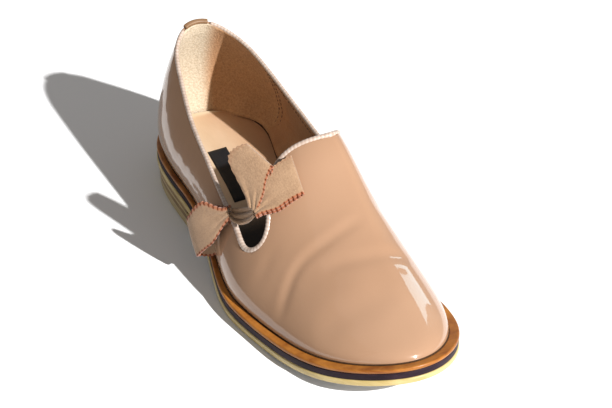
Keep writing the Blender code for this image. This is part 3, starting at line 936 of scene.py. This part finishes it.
def bindingRoute():
    depth = upper["wall"] / 2
    plan = planCurve(depth, onLedge=True)
    halves = []
    for side in (outer, inner):
        path = edgePath(openingEdge[side], binding["radius"])
        column, turn = wallFoot(plan, path[:, 0], path[:, 1], depth)
        place = wallSurface(plan, column, turn, side, depth)
        place[:, 0], place[:, 2] = path[:, 0], path[:, 1]
        facing = wallNormal(plan, column, np.minimum(turn, quarterTurn - binding["ridgeGap"]), side, depth)
        keep = (np.abs(place[:, 1]) > binding["tabGap"]) | (place[:, 0] > lining["counterX"])
        half = np.concatenate([place, facing], axis=1)[keep]
        halves.append(half if side == outer else half[-2::-1])
    both = evenly(np.concatenate(halves), binding["step"])
    return both[:, :3], unit(both[:, 3:])


def makeBinding(finish):
    route, facing = (smoothLine(line, binding["smoothRounds"]) for line in bindingRoute())
    around = ringAngles(binding["ringCount"])
    slant = binding["whipSlant"] * np.sin(around)[None]
    whip = 0.5 + 0.5 * np.cos(2 * math.pi * walkedAlong(route)[:, None] / binding["whipPitch"] + slant)
    fuller = binding["frontFuller"] * smoothStep((route[:, :1] - binding["frontFrom"]) / binding["frontOver"])

    def ring(walked):
        swell = (1 - binding["whip"] * whip) * (1 + fuller)
        return binding["thick"] * np.cos(around)[None] * swell, binding["wide"] * np.sin(around)[None] * swell

    points, faces = sweep(route, facing, ring)
    piece = newPiece("edge_binding", points, faces, finish, ("topline_piping",), closed=False)
    setAttribute(piece, "groove", whip.ravel() ** binding["groovePower"])
    faceOutwards(piece.data)


# Stitch rows

stitch = {
    "pitch": 2.8,
    "length": 1.9,
    "radius": 0.42,
    "ringCount": 6,
    "ringSteps": 5,
    "tip": 0.06,
    "flattened": 0.8,
}
threadLook = {
    "name": "linenThread",
    "scale": 2600,
    "detail": 2.0,
    "deep": (0.10, 0.05, 0.022),
    "pale": (0.20, 0.11, 0.055),
    "rough": (0.5, 0.7),
    "relief": (0.0001, 0.4),
}


def makeStitches(name, rows, finish):
    # rows of (route, facing): each stitch is a short pointed grain of thread lying on the leather
    points, faces = [], []
    count = stitch["ringCount"]
    around = ringAngles(count)
    for route, facing in rows:
        both = evenly(np.concatenate([route, facing], axis=1), stitch["pitch"])
        heading = unit(np.gradient(both[:, :3], axis=0))
        for place, up, along in zip(both[:, :3], unit(both[:, 3:]), heading):
            side = np.cross(along, up)
            first = len(points)
            for share in np.linspace(-1, 1, stitch["ringSteps"]):
                fat = stitch["radius"] * math.sqrt(max(stitch["tip"], 1 - share**2))
                tall = fat * stitch["flattened"]
                centre = place + along * share * stitch["length"] / 2
                points += [centre + up * tall * math.sin(a) + side * fat * math.cos(a) for a in around]
            faces += gridFaces(stitch["ringSteps"], count, first, loop=True)
            last = first + (stitch["ringSteps"] - 1) * count
            faces += [tuple(range(start, start + count)) for start in (first, last)]
    newPiece(name, points, faces, finish)


def liningRow(side, xs, zs, lift):
    # a line on the lining's inner face, facing into the shoe
    depth = lining["depth"] + lining["thickness"] + lift
    plan = planCurve(depth, onLedge=True)
    column, turn = wallFoot(plan, np.asarray(xs, float), np.asarray(zs, float), depth)
    place = wallSurface(plan, column, turn, side, depth)
    facing = -wallNormal(plan, column, turn, side, depth)
    return place + facing * liningFoot(place)[:, None], facing


liningSeams = {
    "collarInto": 4.6,
    "collarFrom": 12.0,
    "collarTo": {outer: 128.0, inner: 100.0},
    "rowGap": 2.2,
    "seamFoot": 27.0,
    "steps": 40,
    "lift": 0.1,
}


def makeLiningStitches(finish):
    rows = []
    lift, steps = liningSeams["lift"], liningSeams["steps"]
    for side in (outer, inner):
        path = edgePath(openingEdge[side], liningSeams["collarInto"])
        path = path[: np.argmax(path[:, 0] > liningSeams["collarTo"][side])]
        path = path[path[:, 0] > liningSeams["collarFrom"]]
        rows.append(liningRow(side, path[:, 0], path[:, 1], lift))
        top = np.interp(lining["counterX"], path[:, 0], path[:, 1])
        heights = np.linspace(liningSeams["seamFoot"], top, steps)
        for step, above in ((-1, lift + lining["counterStep"]), (1, lift)):
            xs = np.full(steps, lining["counterX"] + step * liningSeams["rowGap"])
            rows.append(liningRow(side, xs, heights, above))
    makeStitches("lining_stitches", rows, finish)


# Sole layers, heel lifts and footbed: plates with softened rims

plates = {"columns": 170, "rimSteps": 5, "rimGap": 0.05, "sharpAngle": 50}
solePlates = table(
    "name base thickness proud soft",
    ("outsole", 0.0, 3.5, 0.4, 0.9),
    ("midsole", 3.5, 4.0, 0.0, 0.5),
    ("welt", 7.5, 2.5, 0.3, 1.1),
)


def stationsAlong(plan, count, last=None):
    reach = math.pi if last is None else math.acos(1 - 2 * (last - plan.start) / (plan.end - plan.start))
    return plan.start + (plan.end - plan.start) * (1 - np.cos(np.linspace(0, reach, count + 1))) / 2


def plateRing(plan, xs, rise):
    outward = np.stack([xs, -halfWidth(plan, xs, outer), rise], axis=1)
    inward = np.stack([xs, halfWidth(plan, xs, inner), rise], axis=1)
    return np.concatenate([outward, inward[::-1]])


def plateMesh(rings):
    count = len(rings[0])
    faces = gridFaces(len(rings), count, loop=True)
    last = (len(rings) - 1) * count
    for first in (0, last):
        for i in range(count // 2 - 1):
            faces.append((first + i, first + i + 1, first + count - 2 - i, first + count - 1 - i))
    return np.concatenate(rings), faces


def rimProfile(thickness, soft):
    # height and inset of a rim whose two corners are rounded
    turns = np.linspace(0, quarterTurn, plates["rimSteps"])
    bottom = sorted({(soft * (1 - math.cos(a)), soft * (1 - math.sin(a))) for a in turns})
    return bottom + [(thickness - up, inset) for up, inset in bottom[::-1]]


def layPlate(name, node, finish, profile, planAt, height, columns, frontEnd=None):
    rings = []
    for up, inset in profile:
        plan = planAt(inset)
        xs = stationsAlong(plan, columns, None if frontEnd is None else frontEnd - inset)
        rings.append(plateRing(plan, xs, height(xs) + up))
    points, faces = plateMesh(rings)
    piece = newPiece(name, points, faces, finish, (node,))
    piece.data.set_sharp_from_angle(angle=math.radians(plates["sharpAngle"]))
    return piece


def makeSole(finishes):
    for row in solePlates:
        profile = rimProfile(row.thickness, min(row.soft, row.thickness / 2 - plates["rimGap"]))
        layPlate(
            row.name + "_layer", row.name, finishes[row.name], profile,
            lambda inset: planCurve(inset - row.proud),
            lambda x: treadHeight(x) + row.base,
            plates["columns"],
        )


liftPlates = table(
    "name thickness slot",
    ("heel_top_piece", 4.9, "heel_pale"),
    ("heel_lift_lower", 3.3, "heel_brown"),
    ("heel_lift_middle", 1.8, "heel_pale"),
    ("heel_lift_upper", 3.3, "heel_brown"),
)
heel = {"columns": 70, "inset": 0.4, "taper": 0.35, "soft": 0.35, "breastGap": 0.3}


def makeHeel(finishes):
    base = 0.0
    breast = sole["breast"] * sole["length"] - heel["breastGap"]
    for above, row in zip(range(len(liftPlates) - 1, -1, -1), liftPlates):
        layPlate(
            row.name + "_lift", row.name, finishes[row.slot],
            rimProfile(row.thickness, heel["soft"]),
            lambda inset: planCurve(heel["inset"] + heel["taper"] * above + inset),
            lambda x: np.full(len(x), base),
            heel["columns"],
            breast,
        )
        base += row.thickness


insole = {
    "thickness": 3.0,
    "clearance": 1.2,
    "soft": 1.1,
    "columns": 150,
    # share, start and spread of the painted shade on the footbed's inner side
    "footbedShade": 0.62,
    "footbedShadeFrom": 9.5,
    "footbedShadeOver": 7.0,
}


def makeInsole(finish):
    piece = layPlate(
        "footbed", "insole", finish,
        rimProfile(insole["thickness"], insole["soft"]),
        lambda inset: planCurve(upper["wall"] + insole["clearance"] + inset, onLedge=True),
        seatHeight,
        insole["columns"],
    )
    # painted shade under the vamp
    setAttribute(piece, "front", vampShadeShare(piece))
    # painted shade: the footbed darkens towards its inner side, where the shadow falls
    worn = smoothStep((shoePlaces(piece)[:, 1] - insole["footbedShadeFrom"]) / insole["footbedShadeOver"])
    setAttribute(piece, "worn", insole["footbedShade"] * worn)


gapCords = {
    "footRadius": 0.65,
    "footLift": 0.15,
    "bedRadius": 0.75,
    "bedLift": 0.3,
    "bedFrom": 0.12,  # where the footbed's line starts, as a share before squaring
    "bedTo": 125.0,
    "bedSteps": 160,
    "bedSmoothing": 20,
    "probeLow": 0.3,
    "probeHigh": 14.0,
    "probeSteps": 60,
    "ringCount": 8,
    "step": 1.2,
}
# the cords' dark brown is painted shade of the gaps, at the welt partly the joint's own dark edge
gapShadeLook = {
    "name": "darkSeam",
    "scale": 900,
    "deep": (0.022, 0.010, 0.004),
    "pale": (0.06, 0.028, 0.011),
    "rough": (0.7, 0.9),
    "relief": (0.0001, 0.4),
    "sockets": {"Specular IOR Level": 0.15},
}


def gapCord(name, route, radius, finish):
    around = ringAngles(gapCords["ringCount"])
    route = evenly(route, gapCords["step"])

    def ring(walked):
        whole = np.full((len(walked), 1), radius)
        return whole * np.cos(around)[None], whole * np.sin(around)[None]

    points, faces = sweep(route, np.tile((0.0, 0.0, 1.0), (len(route), 1)), ring)
    newPiece(name, points, faces, finish)


def makeGapShades(finish):
    # dark cords laid in two gaps: the crevice where the upper meets the welt, partly its own dark joint and
    # partly painted shade, and the footbed's edge on the inner side, painted shade where the shadow lies
    plan = planCurve(0.0, onLedge=True)
    sides = [np.stack([plan.edges[side][0], side * plan.edges[side][1]], axis=1) for side in (outer, inner)]
    flat = np.concatenate([sides[0], sides[1][-2::-1]])
    crevice = np.column_stack([flat, seatHeight(flat[:, 0]) + gapCords["footLift"]])
    gapCord("foot_seam", crevice, gapCords["footRadius"], finish)
    depth = lining["depth"] + lining["thickness"]
    plan = planCurve(depth, onLedge=True)
    shares = np.linspace(gapCords["bedFrom"], 1, gapCords["bedSteps"]) ** 2
    rises = np.linspace(gapCords["probeLow"], gapCords["probeHigh"], gapCords["probeSteps"])
    route = []
    for x in plan.start + (gapCords["bedTo"] - plan.start) * shares:
        column, turn = wallFoot(plan, np.full(len(rises), x), seatHeight(x) + rises, depth)
        place = wallSurface(plan, column, turn, inner, depth)
        place = place - wallNormal(plan, column, turn, inner, depth) * liningFoot(place)[:, None]
        level = seatHeight(x) + insole["thickness"] + gapCords["bedLift"]
        route.append((x, np.interp(level, np.maximum.accumulate(place[:, 2]), place[:, 1]), level))
    route = smoothLine(np.array(route), gapCords["bedSmoothing"])
    gapCord("footbed_edge", route, gapCords["bedRadius"], finish)


label = {
    "heelCorner": (47.8, -11.9),
    "acrossTo": (47.4, -0.2),
    "along": (0.987, -0.16),
    "length": 50.0,
    "lift": 0.05,
    "thickness": 0.7,
    "softReach": 0.8,
    "softEdge": 0.35,
    "rows": 24,
    "columns": 10,
}
labelLook = {
    "name": "blackPatch",
    "stretch": (1, 1, 0.2),
    "scale": 1700,
    "detail": 2.0,
    "deep": (0.003, 0.003, 0.004),
    "pale": (0.012, 0.013, 0.015),
    "rough": (0.5, 0.8),
    "relief": (0.0003, 0.5),
    "sockets": {"Specular IOR Level": 0.25},
}


def makeLabel(finish):
    # a plain black patch on the footbed
    corner, other = np.array(label["heelCorner"]), np.array(label["acrossTo"])
    along, width = unit(label["along"]) * label["length"], np.linalg.norm(other - corner)
    rows, columns = label["rows"], label["columns"]
    points = []
    for lift in (label["lift"], label["thickness"]):
        for share in np.linspace(0, 1, rows):
            for place in np.linspace(0, 1, columns):
                x, y = corner + (other - corner) * place + along * share
                edge = min(min(share, 1 - share) * label["length"], min(place, 1 - place) * width)
                soft = smoothStep(edge / label["softReach"] + label["softEdge"])
                height = lift * soft if lift == label["thickness"] else lift
                points.append((x, y, seatHeight(x) + insole["thickness"] + height))
    faces = gridFaces(rows, columns) + gridFaces(rows, columns, rows * columns) + rimFaces(rows, columns)
    newPiece("footbed_patch", points, faces, finish)


# Heel tab: a tan strip folded over the back of the edge

tab = {
    "halfWidth": 7.0,
    "thick": 1.4,
    "tall": 1.2,
    "drop": 0.6,
    "steps": 60,
    "ringCount": 16,
    "searchReach": 12.0,
    "searchSteps": 400,
    "searchRounds": 6,
    "smoothRounds": 12,
    "facingTurn": 14.0,
    "facingUp": 0.25,
    "square": 0.55,  # corners of the strip's section
    "endReach": 0.5,
    "endStart": 0.3,
}


def makeTab(finish):
    depth = upper["wall"] / 2
    plan = planCurve(depth, onLedge=True)
    samples = np.linspace(plan.start, plan.start + tab["searchReach"], tab["searchSteps"])
    route, facing = [], []
    for across in np.linspace(-tab["halfWidth"], tab["halfWidth"], tab["steps"] + 1):
        side = outer if across < 0 else inner
        line = edgePath(openingEdge[side], tab["drop"])
        column = np.interp(abs(across), halfWidth(plan, samples, side), samples)
        x = column + backLean(column, openingEdge[side][0].z - seatHeight(column))
        for _ in range(tab["searchRounds"]):
            z = np.interp(x - tab["thick"], line[:, 0], line[:, 1])
            _, turn = wallFoot(plan, np.array([x]), np.array([z]), depth)
            reach = wallAcross(plan, samples, z - seatHeight(samples), side, np.full(len(samples), turn[0]))
            column = np.interp(abs(across), np.abs(reach), samples)
            x = column + backLean(column, z - seatHeight(column))
        route.append((x, across, z))
        facing.append((-1.0, across / tab["facingTurn"], tab["facingUp"]))
    route = smoothLine(np.array(route), tab["smoothRounds"])
    around = ringAngles(tab["ringCount"])

    def ring(walked):
        fromEnd = np.minimum(walked, walked[-1] - walked) / tab["endReach"] + tab["endStart"]
        ends = np.sqrt(np.clip(fromEnd, 0, 1))[:, None]
        outwards, sideways = (
            size * np.sign(wave) * np.abs(wave) ** tab["square"]
            for size, wave in ((tab["thick"], np.cos(around)), (tab["tall"], np.sin(around)))
        )
        return ends * outwards[None], ends * sideways[None]

    points, faces = sweep(route, np.array(facing), ring)
    newPiece("heel_tab_strip", points, faces, finish, ("heel_tab",))


# Bow: three loops of ribbon and the bridge across the slot

bow = {
    "width": 22.5,
    "thickness": 1.3,
    "edgeThin": (0.55, 0.9),  # share of the thickness at the very edge and next to it
    "gather": 7.0,
    "gatherReach": 0.55,
    "pinch": 0.22,
    "puffPower": 0.7,
    "crown": 0.6,
    "loopSteps": 220,
    "acrossSteps": 44,
    "pinkPitch": 2.7,
    "pinkDepth": 0.5,
    "pinkReach": 0.3,
    "foldCount": 3.0,
    "foldDepth": 0.3,
    "foldReach": 0.6,
    "slidePower": 1.5,
    "copperWide": (0.85, 0.8),  # full width of the copper edge, and its fade
    "dotWide": (0.9, 0.6),
    "dotLong": (0.5, 0.25),
}
bowLoops = table(
    "name root foldStart foldEnd puff slide flareStart flareEnd copperStart copperEnd",
    (
        "bow_loop_vamp", (154.8, -37.1, 57.7), (145.3, -11.8, 79.5), (163.2, -13.3, 66.1),
        4.0, 0.0, 0.1, -0.2, 0.15, 1.0,
    ),
    (
        "bow_loop_throat", (153.6, -36.9, 57.9), (132.2, -31.0, 84.8), (149.2, -23.7, 77.6),
        4.0, 0.0, 1.0, -0.3, 0.12, 0.9,
    ),
    (
        "bow_loop_outer", (136.1, -42.1, 48.2), (114.1, -55.9, 34.9), (122.0, -53.9, 15.0),
        5.5, 6.0, 0.4, -0.1, 0.9, 1.0,
    ),
)
bridgeRows = table(
    "x y z width",
    (152.6, -36.0, 56.4, 5.0),
    (145.0, -36.6, 50.0, 9.0),
    (139.0, -39.6, 46.4, 9.5),
    (134.4, -42.8, 47.0, 6.0),
)
bridge = {
    "alongSlot": (0.86, -0.22, -0.46),
    "steps": 60,
    "acrossSteps": 28,
    "foldCount": 2.5,
    "foldDepth": 0.6,
    "cut": 15.0,
}


def fadeOut(distance, wide):
    full, fade = wide
    return 1 - smoothStep((distance - full) / fade)


def clothPiece(name, grid, rim, dots, finish, nodes, flatSize):
    # a sheet of even thickness about a grid, with its edge tones
    rows, columns, _ = grid.shape
    normal = unit(np.cross(np.gradient(grid, axis=0), np.gradient(grid, axis=1)))
    thick = np.full(columns, bow["thickness"] / 2)
    for i, share in enumerate(bow["edgeThin"]):
        thick[[i, -1 - i]] *= share
    layers = [(grid + side * normal * thick[None, :, None]).reshape(-1, 3) for side in (1, -1)]
    faces = gridFaces(rows, columns) + gridFaces(rows, columns, rows * columns) + rimFaces(rows, columns)
    piece = newPiece(name, np.concatenate(layers), faces, finish, nodes, closed=False)
    setAttribute(piece, "rim", np.tile(rim.ravel(), 2))
    setAttribute(piece, "dots", np.tile(dots.ravel(), 2))
    faceOutwards(piece.data)


def makeLoop(row, finish):
    root, start, end = (np.array(point) for point in (row.root, row.foldStart, row.foldEnd))
    tip, foldWidth = (start + end) / 2, np.linalg.norm(end - start)
    reach = np.linalg.norm(tip - root)
    along, across = unit(tip - root), unit(end - start)
    rise = unit(np.cross(along, across))
    turns = np.linspace(0, math.pi, bow["loopSteps"] + 1)
    shares = np.sin(turns)
    puff = -row.puff * np.cos(turns) * (bow["pinch"] + (1 - bow["pinch"]) * shares ** bow["puffPower"])
    centre = root + shares[:, None] * reach * along + puff[:, None] * rise
    walked = walkedAlong(centre)
    width = bow["gather"] + (foldWidth - bow["gather"]) * smoothStep(shares / bow["gatherReach"])
    places = 0.5 * np.sin(np.linspace(-1, 1, bow["acrossSteps"] + 1) * quarterTurn)
    flare = np.where(places < 0, row.flareStart, row.flareEnd)
    copper = np.where(places < 0, row.copperStart, row.copperEnd)
    tooth = np.abs((walked / bow["pinkPitch"]) % 1 - 0.5) * 2
    crumple = (1 - smoothStep(shares / bow["foldReach"])) * bow["foldDepth"]
    dotFull, dotFade = bow["dotLong"]
    grid, rim, dots = [], [], []
    for i, (turn, share) in enumerate(zip(turns, shares)):
        wide = width[i] - 2 * bow["pinkDepth"] * (1 - tooth[i]) * smoothStep(share / bow["pinkReach"])
        fold = crumple[i] * np.cos(2 * math.pi * bow["foldCount"] * places)
        bowed = bow["crown"] * share * (1 - (2 * places) ** 2)
        outwards = -np.sign(np.cos(turn)) if abs(np.cos(turn)) > 1e-6 else 0
        behind = row.slide * math.sin(math.pi * share ** bow["slidePower"]) if turn < quarterTurn else 0.0
        sideways = places * wide * (1 + flare * math.sin(math.pi * share)) + behind
        grid.append(centre[i] + np.outer(sideways, across) + np.outer((fold + bowed) * outwards, rise))
        inside = (0.5 - np.abs(places)) * wide
        rim.append(copper * fadeOut(inside, bow["copperWide"]))
        dots.append(copper * fadeOut(inside, bow["dotWide"]) * smoothStep((dotFull - tooth[i]) / dotFade))
    edges = np.array(rim), np.array(dots)
    flatSize = (bow["width"] * mm, float(walked[-1]) * mm)
    clothPiece(row.name + "_ribbon", np.array(grid), *edges, finish, (row.name,), flatSize)


def makeBridge(finish):
    share = np.linspace(0, 1, len(bridgeRows))
    fine = np.linspace(0, 1, bridge["steps"] + 1)
    x, y, z, width = (spline(share, listed(bridgeRows, name))(fine) for name in bridgeRows[0]._fields)
    centre = np.stack([x, y, z], axis=1)
    along = unit(bridge["alongSlot"])
    lift = unit(np.cross(unit(np.gradient(centre, axis=0)), along))
    places = np.linspace(-0.5, 0.5, bridge["acrossSteps"] + 1)
    fold = bridge["foldDepth"] * np.cos(2 * math.pi * bridge["foldCount"] * places)
    sideways = along * (places[None, :, None] * width[:, None, None])
    grid = centre[:, None] + sideways + lift[:, None] * fold[None, :, None]
    plain = np.zeros(grid.shape[:2])
    flatSize = (bridge["cut"] * mm, float(walkedAlong(centre)[-1]) * mm)
    clothPiece("bow_bridge_ribbon", grid, plain, plain, finish, ("bow_bridge",), flatSize)


# Stage: pale floor, soft studio light and the camera

stage = {
    "aim": (136.0, 3.0, 39.5),
    "floorSize": 12.0,
    "keyFrom": (0.77, 0.25, 0.585),
    "keyAway": 6.0,
    "keySize": (0.12, 0.12),
    "keyPower": 810.0,
    "cardFrom": (-0.272, 0.857, 0.437),
    "cardAway": 1.6,
    "cardSize": (0.08, 0.74),
    "cardRoll": 12.4,
    "cardPower": 0.85,
    "cardTone": (0.55, 0.86, 0.96),
    "flagPlan": ((-700.0, -84.0), (70.0, -84.0), (120.0, -190.0), (330.0, -200.0)),
    "flagFoot": 1.0,
    "flagTop": 420.0,
    "worldTone": (1.0, 0.97, 0.95),
    "worldStrength": 0.3,
}
floorLook = {
    "name": "paleFloor",
    "scale": 3.0,
    "deep": (0.8668, 0.8668, 0.8668),
    "pale": (0.88, 0.88, 0.88),
    "sockets": {"Roughness": 0.7, "Specular IOR Level": 0.2},
}
flagLook = {
    "name": "darkCloth",
    "scale": 60,
    "deep": (0.02, 0.018, 0.016),
    "pale": (0.04, 0.036, 0.032),
    "sockets": {"Roughness": 1.0},
}
cameraSetup = {
    "place": (1115.1, -528.4, 778.4),
    "roll": 0.78,
    "lens": 148.3,
    "sensor": 36.0,
    "farthest": 50.0,
}


def stageMesh(name, points, faces, look):
    mesh = bpy.data.meshes.new(name)
    mesh.from_pydata(points, [], faces)
    mesh.materials.append(plainFinish(look))
    return addObject(name, mesh)


def makeFloor():
    size = stage["floorSize"]
    corners = [(-size, -size, 0), (size, -size, 0), (size, size, 0), (-size, size, 0)]
    floor = stageMesh("floor", corners, [(0, 1, 2, 3)], floorLook)


def makeFlag():
    # a dark screen beside the outer wall that only the gloss picks up, so the leather keeps its depth
    points = [(x, y, z) for z in (stage["flagFoot"], stage["flagTop"]) for x, y in stage["flagPlan"]]
    faces = gridFaces(2, len(stage["flagPlan"]))
    flag = stageMesh("darkFlag", toFrame(points).tolist(), faces, flagLook)
    flag.visible_camera = flag.visible_diffuse = flag.visible_shadow = False


def addLight(name, direction, away, size, power, tone=(1.0, 1.0, 1.0), roll=0.0):
    lamp = bpy.data.lights.new(name, "AREA")
    lamp.shape = "RECTANGLE"
    lamp.size, lamp.size_y = size
    lamp.energy = power
    lamp.color = tone
    placed = addObject(name, lamp)
    towards = Vector(direction).normalized()
    placed.location = Vector(toFrame(stage["aim"])) + towards * away
    turned = Quaternion((0.0, 0.0, 1.0), math.radians(roll))
    placed.rotation_euler = ((-towards).to_track_quat("-Z", "Y") @ turned).to_euler()
    return placed


def makeStage():
    makeFloor()
    addLight("keyLight", stage["keyFrom"], stage["keyAway"], stage["keySize"], stage["keyPower"])
    cardPlace = stage["cardFrom"], stage["cardAway"], stage["cardSize"]
    card = addLight("sideCard", *cardPlace, stage["cardPower"], stage["cardTone"], stage["cardRoll"])
    card.visible_diffuse = False  # a card that only the gloss picks up
    makeFlag()
    world = bpy.data.worlds.new("paleRoom")
    world.use_nodes = True
    back = world.node_tree.nodes["Background"]
    back.inputs["Color"].default_value = (*stage["worldTone"], 1)
    back.inputs["Strength"].default_value = stage["worldStrength"]
    bpy.context.scene.world = world
    bpy.context.scene.view_settings.view_transform = "Standard"
    print("stage lit")


def makeCamera():
    lens = bpy.data.cameras.new("camera")
    lens.lens, lens.sensor_width, lens.sensor_fit = cameraSetup["lens"], cameraSetup["sensor"], "HORIZONTAL"
    lens.clip_end = cameraSetup["farthest"]
    placed = addObject("camera", lens)
    eye, target = Vector(toFrame(cameraSetup["place"])), Vector(toFrame(stage["aim"]))
    look = (target - eye).to_track_quat("-Z", "Y").to_matrix().to_4x4()
    look.translation = eye
    placed.matrix_world = look @ Matrix.Rotation(math.radians(cameraSetup["roll"]), 4, "Z")
    bpy.context.scene.camera = placed
    print("camera set")


def dressShoe():
    edges = {look.slot: edgeFinish(look) for look in edgeLooks}
    makeSole(edges)
    makeHeel(edges)
    makeInsole(insoleFinish())
    makeLabel(plainFinish(labelLook))
    print("sole stacked")
    makeUpper(patentFinish())
    makeLining(liningFinish())
    makeLiningStitches(plainFinish(threadLook))
    makeGapShades(plainFinish(gapShadeLook))
    makeBinding(bindingFinish())
    makeTab(tabFinish())
    print("upper lined and bound")
    ribbon = ribbonFinish()
    for row in bowLoops:
        makeLoop(row, ribbon)
    makeBridge(ribbon)
    print("bow tied")


makeCamera()
dressShoe()
makeStage()
